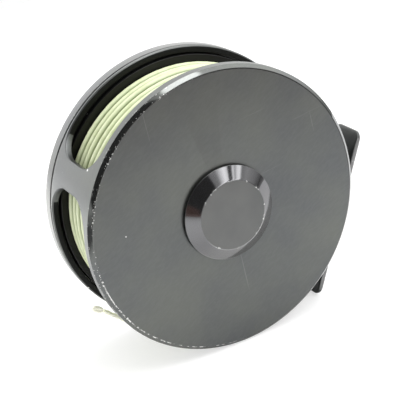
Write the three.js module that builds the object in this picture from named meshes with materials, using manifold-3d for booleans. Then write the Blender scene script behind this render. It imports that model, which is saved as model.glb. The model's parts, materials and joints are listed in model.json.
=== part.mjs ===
// A full-cage fly reel with a disc drag: frame, foot, drag, spool, handle, click and line.
// Millimetres, +Z up along the reel foot. The origin is the centre of the foot's seating face, whose
// normal is +X. The spool's axis runs along +Y, from the frame plate (drag knob) to the handle side.
// Inside the group named reel, radii are from the spool's axis and depths are along +Y from the
// plate's outer face.
import * as THREE from "three";
import { mergeVertices } from "three/addons/utils/BufferGeometryUtils.js";
import Module from "manifold-3d";

const wasm = await Module();
wasm.setup();

// ---------------------------------------------------------------- driving sizes

const FRAME_RADIUS = 46; // plate, cage and palming rim
const REEL_DEPTH = 35.7; // plate face to palming rim face, without knob and handle
const AXIS_TO_SEAT = 49; // spool axis to the foot's seating face
const FOOT_DEPTH = 15.4; // plate face to the foot's middle
const GAP = 0.3; // clearance between neighbours that move or are cut by each other
const FIT = 0.1; // clearance of a close fit

const PLATE = { thickness: 3, bevelRadial: 1.2, bevelAxial: 1.15, bore: 4.2 };
const CAGE = {
  inner: 43.9,
  windowFrom: 4.2,
  windowTo: 29.5,
  cornerRadius: 9,
  lip: 30.5, // depth where the full radius ends
  lipRadius: 44.8,
  end: 32.6,
};
const PILLAR = { from: 172.6, to: 184.1 }; // degrees from the foot, the narrow pillar
const FOOT_BLOCK = 42; // degrees to either side of the foot that stay solid
const CUP = { outer: 18.9, inner: 16.9, end: 12.6, grooveFrom: 10.8, grooveTo: 11.8, groove: 17.6 };

const FOOT = {
  length: 57,
  width: 14.3,
  edge: 1.5, // thickness along the long edges
  crown: 2.8, // thickness along the middle
  tip: 1,
  cornerRadius: 3,
  saddleLength: 20,
  saddleWidth: 11,
  saddle: 2.95,
};
const FOOT_SCREW = {
  spacing: 13,
  shank: 1.2,
  hole: 1.5,
  head: 2.35,
  sink: 2.75,
  sinkDepth: 1.5,
  recess: 0.2,
};

const SPINDLE = { radius: 3, flange: 6.5, flangeThickness: 1.2, shank: 4.1, rear: -2.2, front: 33.6 };
const KNOB = {
  radius: 15.2,
  topRadius: 11.3,
  top: -3.6,
  shoulder: -3.35,
  land: -1.05,
  underside: -0.6,
  recessInner: 7,
  recessOuter: 11.2,
  recessBottom: -2.35,
  insert: 5.45,
  insertBottom: -2.85,
};
const SPRING_WASHER = { first: -1.83, second: -2.28, rise: 0.25, thickness: 0.35 };
const THRUST_RING = { from: -1.2, to: -0.75 };
const DRAG_PIN = { count: 3, circle: 9, radius: 1 };
const PRESSURE_PLATE = { inner: 7, outer: 16.3, from: 3.7, to: 4.9 };
const THRUST_WASHER = { outer: 6, from: 4.35, to: 6.1 };
const CARBON = { inner: 7.2, outer: 16.3, thickness: 0.7, rear: 5.45, front: 8.05 };
const ROTOR = { discFrom: 6.3, discTo: 7.9, discRadius: 16, hub: 6, bore: 3.9, end: 20.2 };
const COVER = { from: 8.9, to: 10.7, bore: 6.5, sealGroove: 7.35, sealCircle: 6.72, seal: 0.5 };
const COVER_RING = { inner: 14.6, outer: 17.3, from: 10.9, to: 11.7, gap: 20, eye: 0.6 };

const SPOOL = {
  flangeRadius: 43.4,
  rear: 3.4,
  rearInner: 4.5,
  frontInner: 28.1,
  web: 30.2,
  webThickness: 2.4,
  arbor: 25,
  arborBore: 23.2,
  hub: 11.2,
  hubRear: 12.9,
  hubFront: 32.1,
  rimFrom: 31.3,
  rimInner: 45.1,
  rimShoulder: 33.3,
  rimHollow: 40.4,
  rimBevel: 0.8,
};
const OUTER_PORTS = { circle: 33, radius: 4.4, count: 12 };
const INNER_PORTS = { circle: 17.3, radius: 3.4, count: 6 };
const LINE = { radius: 41.6, backing: 32, end: 0.55, tagDepth: 9.5, loop: 1.25 };

const BEARING = { inner: 4, innerTo: 5.2, outerFrom: 6.8, outer: 8, width: 4, ball: 0.7, balls: 7 };
const REAR_BEARING = 21; // depth of each bearing's rear face
const FRONT_BEARING = 27;
const SLEEVE = { from: 20.6, to: 31.1 };
const BEARING_RING = { inner: 6.9, outer: 8.4, from: 31.2, to: 31.8, gap: 40, eye: 0.35 };
const CLUTCH = { from: 13.1, to: 19.8, outer: 9, shell: 8.1, roller: 0.8, rollers: 8 };

const CLICK_GEAR = { teeth: 24, tip: 13.9, root: 12.9, from: 13.2, to: 14.7 };
const PAWL = { circle: 20.9, angle: 118, eye: 1.9, tipGap: 0.35, halfTip: 0.25, halfWidth: 1.3 };
const PAWL_POST = { radius: 1, foot: 1.7, root: 0.8, rootDepth: 2.3, top: 16.2 };
const CLICK_WIRE = { radius: 0.3, legReach: 4.2, legSpread: 1.15, coilTurn: 150 };

const HANDLE = {
  circle: 33,
  base: 32.5,
  end: 52,
  barrel: 5.8,
  waist: 4.9,
  bulge: 6.5,
  bore: 3,
  pocket: 4.1,
};
const HANDLE_POST = { radius: 2, foot: 3.6, shank: 1.6, shankEnd: 28.5, top: 49, thread: 1.05 };
const HANDLE_BUSHING = { outer: 2.9, length: 4.5 };
const HANDLE_WASHER = { inner: 1.1, outer: 3.6, thickness: 0.4 };
const HANDLE_SCREW = { shank: 0.95, head: 3.4, socket: 1.2, length: 4.2, headHeight: 1.6 };
const COUNTERWEIGHT = { radius: 6, bore: 1.5, from: 30.3, to: 32.7, bevel: 0.5 };
const WEIGHT_SCREW = { shank: 1.2, head: 2.6, socket: 1, length: 3.95, headHeight: 1.35 };
const CAP = {
  radius: 8.4,
  neck: 5,
  neckEnd: 31.3,
  from: 32.4,
  to: 35.2,
  bore: 3.2,
  flutes: 8,
  flute: 1.3,
  slot: 1,
};
const CAP_SEAL = { circle: 3.62, section: 0.42, depth: 32.55, groove: 4.2, grooveFrom: 32.1, grooveTo: 33 };

// ---------------------------------------------------------------- shape helpers

const radians = THREE.MathUtils.degToRad;

// Enough sides for a turned piece of this radius, always a multiple of four.
function sides(radius) {
  if (radius > 30) return 64;
  if (radius > 14) return 32;
  if (radius > 7) return 28;
  return radius > 3 ? 16 : 12;
}

// A closed outline of [radius, depth] pairs turned about the Y axis, with its faces pointing out.
function turned(outline, count) {
  const points = outline.map(([radius, depth]) => new THREE.Vector2(radius, depth));
  if (THREE.ShapeUtils.area(points) < 0) points.reverse();
  points.push(points[0].clone());
  const widest = Math.max(...outline.map(([radius]) => radius));
  return new THREE.LatheGeometry(points, count ?? sides(widest));
}

// A plain ring between two radii and two depths.
function ring(inner, outer, from, to, count) {
  return turned([[inner, from], [outer, from], [outer, to], [inner, to]], count);
}

// A solid rod about the Y axis.
function rod(radius, from, to, count) {
  const geometry = new THREE.CylinderGeometry(radius, radius, to - from, count ?? sides(radius));
  return geometry.translate(0, (from + to) / 2, 0);
}

// A ring of round section about the Y axis.
function roundRing(radius, section, depth, count) {
  const points = new THREE.Path().absarc(radius, depth, section, 0, 2 * Math.PI).getSpacedPoints(6);
  return new THREE.LatheGeometry(points, count ?? sides(radius));
}

// A flat outline in (x, z), thickened along Y between two depths.
function plate(shape, from, to) {
  const options = { depth: to - from, bevelEnabled: false, curveSegments: 10 };
  const geometry = new THREE.ExtrudeGeometry(shape, options);
  return geometry.rotateX(Math.PI / 2).translate(0, to, 0);
}

// A round wire of this radius along a path.
function wireAlong(path, radius, steps, curveSegments) {
  const section = new THREE.Shape().absarc(0, 0, radius, 0, 2 * Math.PI);
  const options = { steps, extrudePath: path, bevelEnabled: false, curveSegments };
  return new THREE.ExtrudeGeometry(section, options);
}

// A point on a circle about the Y axis, its angle in degrees from +X towards +Z.
function onCircle(radius, angle) {
  return new THREE.Vector3(radius * Math.cos(radians(angle)), 0, radius * Math.sin(radians(angle)));
}

function movedTo(geometry, radius, angle) {
  const place = onCircle(radius, angle);
  return geometry.translate(place.x, place.y, place.z);
}

// What make gives for each of count angles, evenly spaced round the axis and starting at the foot.
function aroundCircle(count, make) {
  return Array.from({ length: count }, (_, index) => make((360 * index) / count));
}

// ---------------------------------------------------------------- joining and cutting

function solidOf(geometry) {
  const bare = geometry.clone();
  bare.deleteAttribute("normal");
  bare.deleteAttribute("uv");
  const merged = mergeVertices(bare, 1e-4);
  const mesh = new wasm.Mesh({
    numProp: 3,
    vertProperties: new Float32Array(merged.attributes.position.array),
    triVerts: new Uint32Array(merged.index.array),
  });
  return new wasm.Manifold(mesh);
}

function geometryOf(solid) {
  const mesh = solid.getMesh();
  const geometry = new THREE.BufferGeometry();
  geometry.setAttribute("position", new THREE.BufferAttribute(mesh.vertProperties, 3));
  geometry.setIndex(new THREE.BufferAttribute(mesh.triVerts, 1));
  geometry.computeVertexNormals();
  return geometry;
}

function cut(body, ...tools) {
  return geometryOf(tools.reduce((solid, tool) => solid.subtract(solidOf(tool)), solidOf(body)));
}

function join(...bodies) {
  return geometryOf(bodies.map(solidOf).reduce((solid, next) => solid.add(next)));
}

function common(...bodies) {
  return geometryOf(bodies.map(solidOf).reduce((solid, next) => solid.intersect(next)));
}

// ---------------------------------------------------------------- materials

const FINISHES = {
  anodised: { color: 0x4a4b49, roughness: 0.42, metalness: 0.75 },
  polished: { color: 0x2c2d2d, roughness: 0.16, metalness: 0.85 },
  steel: { color: 0xb4b6b8, roughness: 0.3, metalness: 1 },
  bronze: { color: 0xb08a4e, roughness: 0.4, metalness: 1 },
  brass: { color: 0xc9a24a, roughness: 0.32, metalness: 1 },
  carbon: { color: 0x1b1c1e, roughness: 0.6, metalness: 0 },
  plastic: { color: 0x202122, roughness: 0.5, metalness: 0 },
  rubber: { color: 0x141414, roughness: 0.8, metalness: 0 },
  flyLine: { color: 0xd5dfa6, roughness: 0.45, metalness: 0 },
  backing: { color: 0xd8862c, roughness: 0.85, metalness: 0 },
};

function piece(name, geometry, finish) {
  const mesh = new THREE.Mesh(geometry, new THREE.MeshStandardMaterial(FINISHES[finish]));
  mesh.name = name;
  return mesh;
}

// ---------------------------------------------------------------- frame and foot

// A window through the cage wall, between two angles, with rounded ends. It is swept round the axis
// as a rectangle whose depth span grows along each end's quarter circles.
function windowCutter(fromAngle, toAngle) {
  const inner = CAGE.inner - 3;
  const outer = FRAME_RADIUS + 3;
  const cornerAngle = THREE.MathUtils.radToDeg(CAGE.cornerRadius / FRAME_RADIUS);
  const cornerSteps = 6;
  const middleSteps = 24;
  const stations = [];
  for (let step = 0; step < cornerSteps; step += 1) {
    const turn = (Math.PI / 2) * (step / cornerSteps);
    const along = cornerAngle * (1 - Math.cos(turn));
    stations.push([fromAngle + along, CAGE.cornerRadius * (1 - Math.sin(turn))]);
  }
  for (let step = 0; step <= middleSteps; step += 1) {
    const share = step / middleSteps;
    stations.push([THREE.MathUtils.lerp(fromAngle + cornerAngle, toAngle - cornerAngle, share), 0]);
  }
  for (const [angle, inset] of stations.slice(0, cornerSteps).reverse()) {
    stations.push([toAngle - (angle - fromAngle), inset]);
  }
  const positions = [];
  for (const [angle, inset] of stations) {
    const low = CAGE.windowFrom + inset;
    const high = CAGE.windowTo - inset;
    for (const [radius, depth] of [[inner, low], [outer, low], [outer, high], [inner, high]]) {
      const point = onCircle(radius, angle);
      positions.push(point.x, depth, point.z);
    }
  }
  const index = [];
  const quad = (a, b, c, d) => index.push(a, b, c, a, c, d);
  const last = 4 * (stations.length - 1);
  for (let base = 0; base < last; base += 4) {
    for (let corner = 0; corner < 4; corner += 1) {
      const next = (corner + 1) % 4;
      quad(base + corner, base + next, base + 4 + next, base + 4 + corner);
    }
  }
  quad(3, 2, 1, 0);
  quad(last, last + 1, last + 2, last + 3);
  const geometry = new THREE.BufferGeometry();
  geometry.setAttribute("position", new THREE.Float32BufferAttribute(positions, 3));
  geometry.setIndex(index);
  return geometry;
}

// Side is 1 for the upper screw and -1 for the lower one.
function footScrewHeight(side) {
  return (side * FOOT_SCREW.spacing) / 2;
}

// A rod along X through the foot at the height of one of its screws.
function footScrewRod(radius, fromX, toX, side) {
  const geometry = rod(radius, fromX, toX).rotateZ(-Math.PI / 2);
  return geometry.translate(0, FOOT_DEPTH, footScrewHeight(side));
}

function footBlock(fromX, toX, length, width) {
  const block = new THREE.BoxGeometry(toX - fromX, width, length);
  return block.translate((fromX + toX) / 2, FOOT_DEPTH, 0);
}

function makeFrame() {
  const body = turned([
    [PLATE.bore, 0],
    [FRAME_RADIUS - PLATE.bevelRadial, 0],
    [FRAME_RADIUS, PLATE.bevelAxial],
    [FRAME_RADIUS, CAGE.lip],
    [CAGE.lipRadius, CAGE.lip],
    [CAGE.lipRadius, CAGE.end],
    [CAGE.inner, CAGE.end],
    [CAGE.inner, PLATE.thickness],
    [CUP.outer, PLATE.thickness],
    [CUP.outer, CUP.end],
    [CUP.inner, CUP.end],
    [CUP.inner, CUP.grooveTo],
    [CUP.groove, CUP.grooveTo],
    [CUP.groove, CUP.grooveFrom],
    [CUP.inner, CUP.grooveFrom],
    [CUP.inner, PLATE.thickness],
    [PLATE.bore, PLATE.thickness],
  ]);
  const padTop = AXIS_TO_SEAT - FOOT.saddle - FIT / 2;
  const pad = footBlock(CAGE.inner + GAP, padTop, FOOT.saddleLength + 1, FOOT.saddleWidth + 1);
  const footFlat = footBlock(padTop, FRAME_RADIUS + 1, FOOT.saddleLength, FOOT.width);
  const screwHole = (side) => footScrewRod(FOOT_SCREW.hole, CAGE.inner - 1, AXIS_TO_SEAT, side);
  const pinHole = (angle) => {
    const drill = rod(DRAG_PIN.radius + GAP, -1, PLATE.thickness + 1);
    return movedTo(drill, DRAG_PIN.circle, angle);
  };
  const postHole = rod(PAWL_POST.root + FIT, PAWL_POST.rootDepth - FIT, PLATE.thickness + 1);
  return cut(
    join(body, pad),
    windowCutter(FOOT_BLOCK, PILLAR.from),
    windowCutter(PILLAR.to, 360 - FOOT_BLOCK),
    footFlat,
    screwHole(1),
    screwHole(-1),
    ...aroundCircle(DRAG_PIN.count, pinHole),
    movedTo(postHole, PAWL.circle, PAWL.angle),
  );
}

// The foot: crowned across its width, thin at its tips, with a saddle that sits on the frame.
function makeFoot() {
  const seat = AXIS_TO_SEAT;
  const halfWidth = FOOT.width / 2;
  const halfLength = FOOT.length / 2;
  const crossSection = new THREE.Shape();
  crossSection.moveTo(seat, -halfWidth);
  crossSection.lineTo(seat, halfWidth);
  crossSection.lineTo(seat - FOOT.edge, halfWidth);
  crossSection.quadraticCurveTo(seat - 2 * FOOT.crown + FOOT.edge, 0, seat - FOOT.edge, -halfWidth);
  const crossBar = new THREE.ExtrudeGeometry(crossSection, {
    depth: FOOT.length,
    bevelEnabled: false,
    curveSegments: 8,
  }).translate(0, FOOT_DEPTH, -halfLength);

  const side = new THREE.Shape();
  side.moveTo(seat + 1, -halfLength);
  side.lineTo(seat + 1, halfLength);
  side.lineTo(seat - FOOT.tip, halfLength);
  side.quadraticCurveTo(seat - FOOT.crown, halfLength * 0.55, seat - FOOT.crown - 0.4, 0);
  side.quadraticCurveTo(seat - FOOT.crown, -halfLength * 0.55, seat - FOOT.tip, -halfLength);
  const sideBar = plate(side, FOOT_DEPTH - halfWidth - 1, FOOT_DEPTH + halfWidth + 1);

  const corner = FOOT.cornerRadius;
  const outline = new THREE.Shape();
  outline.moveTo(-halfLength + corner, -halfWidth);
  outline.absarc(halfLength - corner, -halfWidth + corner, corner, -Math.PI / 2, 0);
  outline.absarc(halfLength - corner, halfWidth - corner, corner, 0, Math.PI / 2);
  outline.absarc(-halfLength + corner, halfWidth - corner, corner, Math.PI / 2, Math.PI);
  outline.absarc(-halfLength + corner, -halfWidth + corner, corner, Math.PI, 1.5 * Math.PI);
  const plan = new THREE.ExtrudeGeometry(outline, { depth: 10, bevelEnabled: false, curveSegments: 6 })
    .rotateY(-Math.PI / 2)
    .translate(seat + 1, FOOT_DEPTH, 0);

  const saddle = footBlock(seat - FOOT.saddle, seat - 1, FOOT.saddleLength, FOOT.saddleWidth);
  const { sink, sinkDepth, hole } = FOOT_SCREW;
  const countersink = (side) => {
    const cone = new THREE.CylinderGeometry(sink, sink - sinkDepth, sinkDepth, 16);
    const along = cone.translate(0, seat - sinkDepth / 2, 0).rotateZ(-Math.PI / 2);
    return along.translate(0, FOOT_DEPTH, footScrewHeight(side));
  };
  return cut(
    join(common(crossBar, sideBar, plan), saddle),
    countersink(1),
    countersink(-1),
    footScrewRod(hole, seat - 5, seat + 1, 1),
    footScrewRod(hole, seat - 5, seat + 1, -1),
  );
}

// A countersunk screw along X, with a hexagon socket, sunk a little below the seating face.
function makeFootScrew(side) {
  const { shank, head, recess } = FOOT_SCREW;
  const top = AXIS_TO_SEAT - recess;
  const tip = CAGE.inner + GAP;
  const headEnd = top - (head - shank);
  const outline = [[0, tip], [shank, tip], [shank, headEnd], [head, top], [0, top]];
  const socket = rod(head / 3, headEnd, top + 1, 6);
  const screw = cut(turned(outline, 16), socket).rotateZ(-Math.PI / 2);
  return screw.translate(0, FOOT_DEPTH, footScrewHeight(side));
}

// ---------------------------------------------------------------- spindle and drag

// The fixed axle: threaded behind the plate for the knob, shouldered against the plate's inner face.
function makeSpindle() {
  const { radius, flange, flangeThickness, shank, rear, front } = SPINDLE;
  const shoulder = PLATE.thickness + FIT / 2;
  const tipBevel = 0.5;
  return turned([
    [0, rear],
    [radius - FIT, rear],
    [radius - FIT, 0],
    [shank, 0],
    [shank, shoulder],
    [flange, shoulder],
    [flange, shoulder + flangeThickness],
    [radius, shoulder + flangeThickness],
    [radius, front - tipBevel],
    [radius - tipBevel, front],
    [0, front],
  ], 20);
}

function makeDragPin(angle) {
  return movedTo(rod(DRAG_PIN.radius, THRUST_RING.to, PRESSURE_PLATE.from), DRAG_PIN.circle, angle);
}

// A shallow cone washer that flattens under load.
function makeSpringWasher(rear) {
  const inner = KNOB.recessInner + GAP;
  const outer = KNOB.recessOuter - GAP;
  const { rise, thickness } = SPRING_WASHER;
  return turned([
    [inner, rear],
    [outer, rear + rise],
    [outer, rear + rise + thickness],
    [inner, rear + thickness],
  ]);
}

function makeCarbonWasher(from) {
  return ring(CARBON.inner, CARBON.outer, from, from + CARBON.thickness);
}

// The rotor: a disc between the carbon washers and a hub that the one-way clutch grips.
function makeRotor() {
  const { discFrom, discTo, discRadius, hub, bore, end } = ROTOR;
  return turned([
    [bore, discFrom],
    [discRadius, discFrom],
    [discRadius, discTo],
    [hub, discTo],
    [hub, end],
    [bore, end],
  ]);
}

// The cup's lid, with a groove in its bore for the seal.
function makeDragCover() {
  const { from, to, bore, sealGroove } = COVER;
  return turned([
    [bore, from],
    [CUP.inner - FIT, from],
    [CUP.inner - FIT, to],
    [bore, to],
    [bore, to - GAP],
    [sealGroove, to - GAP],
    [sealGroove, from + GAP],
    [bore, from + GAP],
  ]);
}

// A snap ring with a gap on the +X side, its two ends drilled for pliers.
function makeSnapRing({ inner, outer, from, to, gap, eye }) {
  const half = radians(gap / 2);
  const shape = new THREE.Shape();
  shape.absarc(0, 0, outer, half, 2 * Math.PI - half);
  shape.absarc(0, 0, inner, 2 * Math.PI - half, half, true);
  const eyeAngle = gap / 2 + THREE.MathUtils.radToDeg((2 * eye) / inner);
  for (const angle of [eyeAngle, -eyeAngle]) {
    const centre = onCircle((inner + outer) / 2, angle);
    shape.holes.push(new THREE.Path().absarc(centre.x, centre.z, eye, 0, 2 * Math.PI, true));
  }
  return plate(shape, from, to);
}

// The knob: a short land, a conical flank and a flat top, hollowed for the springs and the insert.
function makeKnob() {
  const { radius, topRadius, top, shoulder, land, underside } = KNOB;
  const { recessInner, recessOuter, recessBottom, insert, insertBottom } = KNOB;
  const insertBore = insert + FIT;
  return turned([
    [0, top],
    [topRadius - 0.3, top],
    [topRadius + 0.15, shoulder],
    [radius, land],
    [radius, underside],
    [recessOuter, underside],
    [recessOuter, recessBottom],
    [recessInner, recessBottom],
    [recessInner, underside],
    [insertBore, underside],
    [insertBore, insertBottom - FIT],
    [0, insertBottom - FIT],
  ], 40);
}

// ---------------------------------------------------------------- click

function makeClickGear() {
  const { teeth, tip, root, from, to } = CLICK_GEAR;
  const toothCorners = [[root, 0], [root, 0.3], [tip, 0.5], [tip, 0.7]]; // radius, share of a tooth
  const corners = aroundCircle(teeth, (angle) =>
    toothCorners.map(([radius, share]) => onCircle(radius, angle + (share * 360) / teeth)),
  ).flat();
  const shape = new THREE.Shape(corners.map((corner) => new THREE.Vector2(corner.x, corner.z)));
  shape.holes.push(new THREE.Path().absarc(0, 0, SPOOL.hub + GAP, 0, 2 * Math.PI, true));
  return plate(shape, from, to);
}

// The pawl points from its post at the spool's axis. It is drawn about the post, pointing along -X.
function makePawl() {
  const { circle, angle, eye, tipGap, halfTip, halfWidth } = PAWL;
  const reach = circle - CLICK_GEAR.tip - tipGap;
  const shape = new THREE.Shape();
  shape.moveTo(-reach, halfTip);
  shape.lineTo(-reach, -halfTip);
  shape.lineTo(-reach + 2, -halfWidth + 0.2);
  shape.lineTo(-eye + 0.6, -halfWidth);
  shape.absarc(0, 0, eye, radians(-135), radians(135));
  shape.lineTo(-eye + 0.6, halfWidth);
  shape.lineTo(-reach + 2, halfWidth - 0.2);
  shape.holes.push(new THREE.Path().absarc(0, 0, PAWL_POST.radius + 0.15, 0, 2 * Math.PI, true));
  return plate(shape, CLICK_GEAR.from, CLICK_GEAR.to).rotateY(-radians(angle));
}

function makePawlPost() {
  const { radius, foot, root, rootDepth, top } = PAWL_POST;
  const seat = PLATE.thickness + FIT / 2;
  const shelf = CLICK_GEAR.from - GAP;
  return turned([
    [0, rootDepth],
    [root, rootDepth],
    [root, seat],
    [foot, seat],
    [foot, shelf],
    [radius, shelf],
    [radius, top],
    [0, top],
  ], 12);
}

// A wire spring: most of a coil round the post above the pawl, with two straight legs.
function makeClickSpring() {
  const { radius: wire, legReach, legSpread, coilTurn } = CLICK_WIRE;
  const coil = PAWL_POST.radius + wire + 0.25;
  const depth = CLICK_GEAR.to + wire + GAP;
  const coilSteps = 12;
  const coilPoints = Array.from({ length: coilSteps + 1 }, (_, step) => {
    const turn = radians(coilTurn * (1 - (2 * step) / coilSteps));
    return new THREE.Vector3(coil * Math.cos(turn), depth, coil * Math.sin(turn));
  });
  const upperLeg = new THREE.Vector3(-legReach, depth, legSpread);
  const lowerLeg = new THREE.Vector3(-legReach, depth, -legSpread);
  const path = new THREE.CatmullRomCurve3([upperLeg, ...coilPoints, lowerLeg]);
  return wireAlong(path, wire, 22, 3).rotateY(-radians(PAWL.angle));
}

// ---------------------------------------------------------------- spool

// The arbor, its two flanges and the palming rim that laps over the cage's front lip.
function makeSpoolShell() {
  return turned([
    [SPOOL.arborBore, SPOOL.rear],
    [SPOOL.flangeRadius, SPOOL.rear],
    [SPOOL.flangeRadius, SPOOL.rearInner],
    [SPOOL.arbor, SPOOL.rearInner],
    [SPOOL.arbor, SPOOL.frontInner],
    [SPOOL.flangeRadius, SPOOL.frontInner],
    [SPOOL.flangeRadius, SPOOL.rimShoulder],
    [SPOOL.rimInner, SPOOL.rimShoulder],
    [SPOOL.rimInner, SPOOL.rimFrom],
    [FRAME_RADIUS, SPOOL.rimFrom],
    [FRAME_RADIUS, REEL_DEPTH - SPOOL.rimBevel],
    [FRAME_RADIUS - SPOOL.rimBevel, REEL_DEPTH],
    [SPOOL.rimHollow + SPOOL.rimBevel, REEL_DEPTH],
    [SPOOL.rimHollow, SPOOL.web + 1.5 * SPOOL.rimBevel],
    [SPOOL.rimHollow - 1.5 * SPOOL.rimBevel, SPOOL.web],
    [SPOOL.arborBore, SPOOL.web],
  ]);
}

// The web and the hub tube, bored for the clutch, the two bearings and the snap ring.
function makeSpoolHub() {
  const bearingBore = BEARING.outer + FIT / 2;
  const clutchBore = CLUTCH.outer + FIT / 2;
  const lip = BEARING.outerFrom + FIT;
  const ringGroove = BEARING.outer + 0.6;
  return turned([
    [SPOOL.arborBore + 0.5, SPOOL.web],
    [SPOOL.hub + 1.6, SPOOL.web],
    [SPOOL.hub + 0.8, SPOOL.hubFront],
    [bearingBore, SPOOL.hubFront],
    [bearingBore, SPOOL.hubFront - 0.2],
    [ringGroove, SPOOL.hubFront - 0.2],
    [ringGroove, FRONT_BEARING + BEARING.width + FIT],
    [bearingBore, FRONT_BEARING + BEARING.width + FIT],
    [bearingBore, FRONT_BEARING - FIT],
    [lip, FRONT_BEARING - FIT],
    [lip, REAR_BEARING + BEARING.width + FIT],
    [bearingBore, REAR_BEARING + BEARING.width + FIT],
    [bearingBore, CLUTCH.to + 0.6],
    [clutchBore, CLUTCH.to + 0.6],
    [clutchBore, SPOOL.hubRear],
    [SPOOL.hub, SPOOL.hubRear],
    [SPOOL.hub, SPOOL.web - SPOOL.webThickness],
    [SPOOL.arborBore + 0.5, SPOOL.web - SPOOL.webThickness],
  ], 28);
}

function makeSpool() {
  const { web } = SPOOL;
  const through = (radius, circle, angle, count) =>
    movedTo(rod(radius, web - 3, web + 3, count), circle, angle);
  const handleBoss = rod(HANDLE_POST.foot + 1, web - 0.5, HANDLE.base - 1.1, 20);
  const weightSeat = rod(COUNTERWEIGHT.radius + 0.6, web - 0.5, COUNTERWEIGHT.from - FIT / 2, 20);
  const portAngles = aroundCircle(OUTER_PORTS.count, (angle) => angle).filter((angle) => angle % 180 !== 0);
  const innerPort = (angle) => through(INNER_PORTS.radius, INNER_PORTS.circle, angle, 12);
  return cut(
    join(
      makeSpoolShell(),
      makeSpoolHub(),
      movedTo(handleBoss, HANDLE.circle, 0),
      movedTo(weightSeat, HANDLE.circle, 180),
    ),
    ...portAngles.map((angle) => through(OUTER_PORTS.radius, OUTER_PORTS.circle, angle, 16)),
    ...aroundCircle(INNER_PORTS.count, innerPort),
    through(HANDLE_POST.shank + GAP, HANDLE.circle, 0, 12),
    through(WEIGHT_SCREW.shank + GAP, HANDLE.circle, 180, 12),
  );
}

function makeInnerRace(from) {
  return ring(BEARING.inner, BEARING.innerTo, from, from + BEARING.width);
}

function makeOuterRace(from) {
  return ring(BEARING.outerFrom, BEARING.outer, from, from + BEARING.width);
}

// The balls of one bearing, held together by their cage.
function makeBallCage(from) {
  const middle = from + BEARING.width / 2;
  const circle = (BEARING.innerTo + BEARING.outerFrom) / 2;
  const cage = ring(circle - 0.25, circle + 0.25, middle - 0.9, middle + 0.9, 2 * BEARING.balls);
  const balls = aroundCircle(BEARING.balls, (angle) =>
    movedTo(new THREE.IcosahedronGeometry(BEARING.ball, 0).translate(0, middle, 0), circle, angle),
  );
  return join(cage, ...balls);
}

function makeClutchRollers() {
  const circle = (ROTOR.hub + CLUTCH.shell) / 2;
  const cage = ring(circle - 0.4, circle + 0.4, CLUTCH.from + 0.6, CLUTCH.to - 0.6, 2 * CLUTCH.rollers);
  const rollers = aroundCircle(CLUTCH.rollers, (angle) =>
    movedTo(rod(CLUTCH.roller, CLUTCH.from + 1, CLUTCH.to - 1, 6), circle, angle),
  );
  return join(cage, ...rollers);
}

// The line and the backing: plain rings that fill the spool between its flanges.
function makeLinePack(inner, outer, count) {
  const from = SPOOL.rearInner + GAP;
  const to = SPOOL.frontInner - GAP;
  const round = 0.9;
  return turned([
    [inner, from],
    [outer - round, from],
    [outer, from + round],
    [outer, to - round],
    [outer - round, to],
    [inner, to],
  ], count);
}

// The end of the fly line: it comes out of the lower window and closes in a small welded loop.
function makeLineTag() {
  const at = (radius, angle, shift = 0) => onCircle(radius, angle).setY(LINE.tagDepth + shift);
  const path = new THREE.CatmullRomCurve3([
    at(44.7, 268, 1.2),
    at(44.7, 256, 0.8),
    at(45.2, 246, 0.3),
    at(46.6, 237),
    at(47.9, 231.6),
  ]);
  const centre = at(49, 229.4);
  const loop = roundRing(LINE.loop, LINE.end, 0, 14).scale(1.35, 1, 1).rotateY(radians(38));
  return join(wireAlong(path, LINE.end, 14, 4), loop.translate(centre.x, centre.y, centre.z));
}

// ---------------------------------------------------------------- handle, counterweight and cap

// The post is shouldered: a shank through the spool's face, a foot, then the pin the handle turns on.
function makeHandlePost() {
  const { radius, foot, shank, shankEnd, top, thread } = HANDLE_POST;
  const footSeat = HANDLE.base - 1.05;
  const body = turned([
    [0, shankEnd],
    [shank, shankEnd],
    [shank, footSeat],
    [foot, footSeat],
    [foot, HANDLE.base - GAP],
    [radius, HANDLE.base - GAP],
    [radius, top],
    [0, top],
  ], 16);
  return cut(body, rod(thread, top - 4, top + 1));
}

// The handle: waisted near the reel and full at its outer end, with a pocket for the screw's head.
function makeHandleBarrel() {
  const { base, end, barrel, waist, bulge, bore, pocket } = HANDLE;
  const belly = new THREE.SplineCurve([
    new THREE.Vector2(barrel, base + 0.5),
    new THREE.Vector2(waist, base + 5.5),
    new THREE.Vector2(bulge - 0.6, end - 9.5),
    new THREE.Vector2(bulge, end - 5),
    new THREE.Vector2(bulge - 0.5, end - 1.5),
    new THREE.Vector2(pocket + 1, end),
  ]);
  const flank = belly.getPoints(10).map((point) => [point.x, point.y]);
  return turned([
    [bore, base],
    [barrel - 0.5, base],
    ...flank,
    [pocket, end],
    [pocket, HANDLE_POST.top],
    [bore, HANDLE_POST.top],
  ], 24);
}

function makeHandleBushing(from) {
  const { outer, length } = HANDLE_BUSHING;
  return ring(HANDLE_POST.radius + FIT, outer, from, from + length, 16);
}

// A pan-head screw along Y with a hexagon socket, its head's underside at the given depth.
function makePanScrew({ shank, head, socket, length, headHeight }, seat) {
  const top = seat + headHeight;
  const bevel = 0.4;
  const outline = [[0, seat - length], [shank, seat - length], [shank, seat], [head, seat]];
  outline.push([head, top - bevel], [head - bevel, top], [0, top]);
  return cut(turned(outline, 20), rod(socket, top - 0.9, top + 1, 6));
}

function makeCounterweight() {
  const { radius, bore, from, to, bevel } = COUNTERWEIGHT;
  return turned([[bore, from], [radius, from], [radius, to - bevel], [radius - bevel, to], [bore, to]], 24);
}

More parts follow.
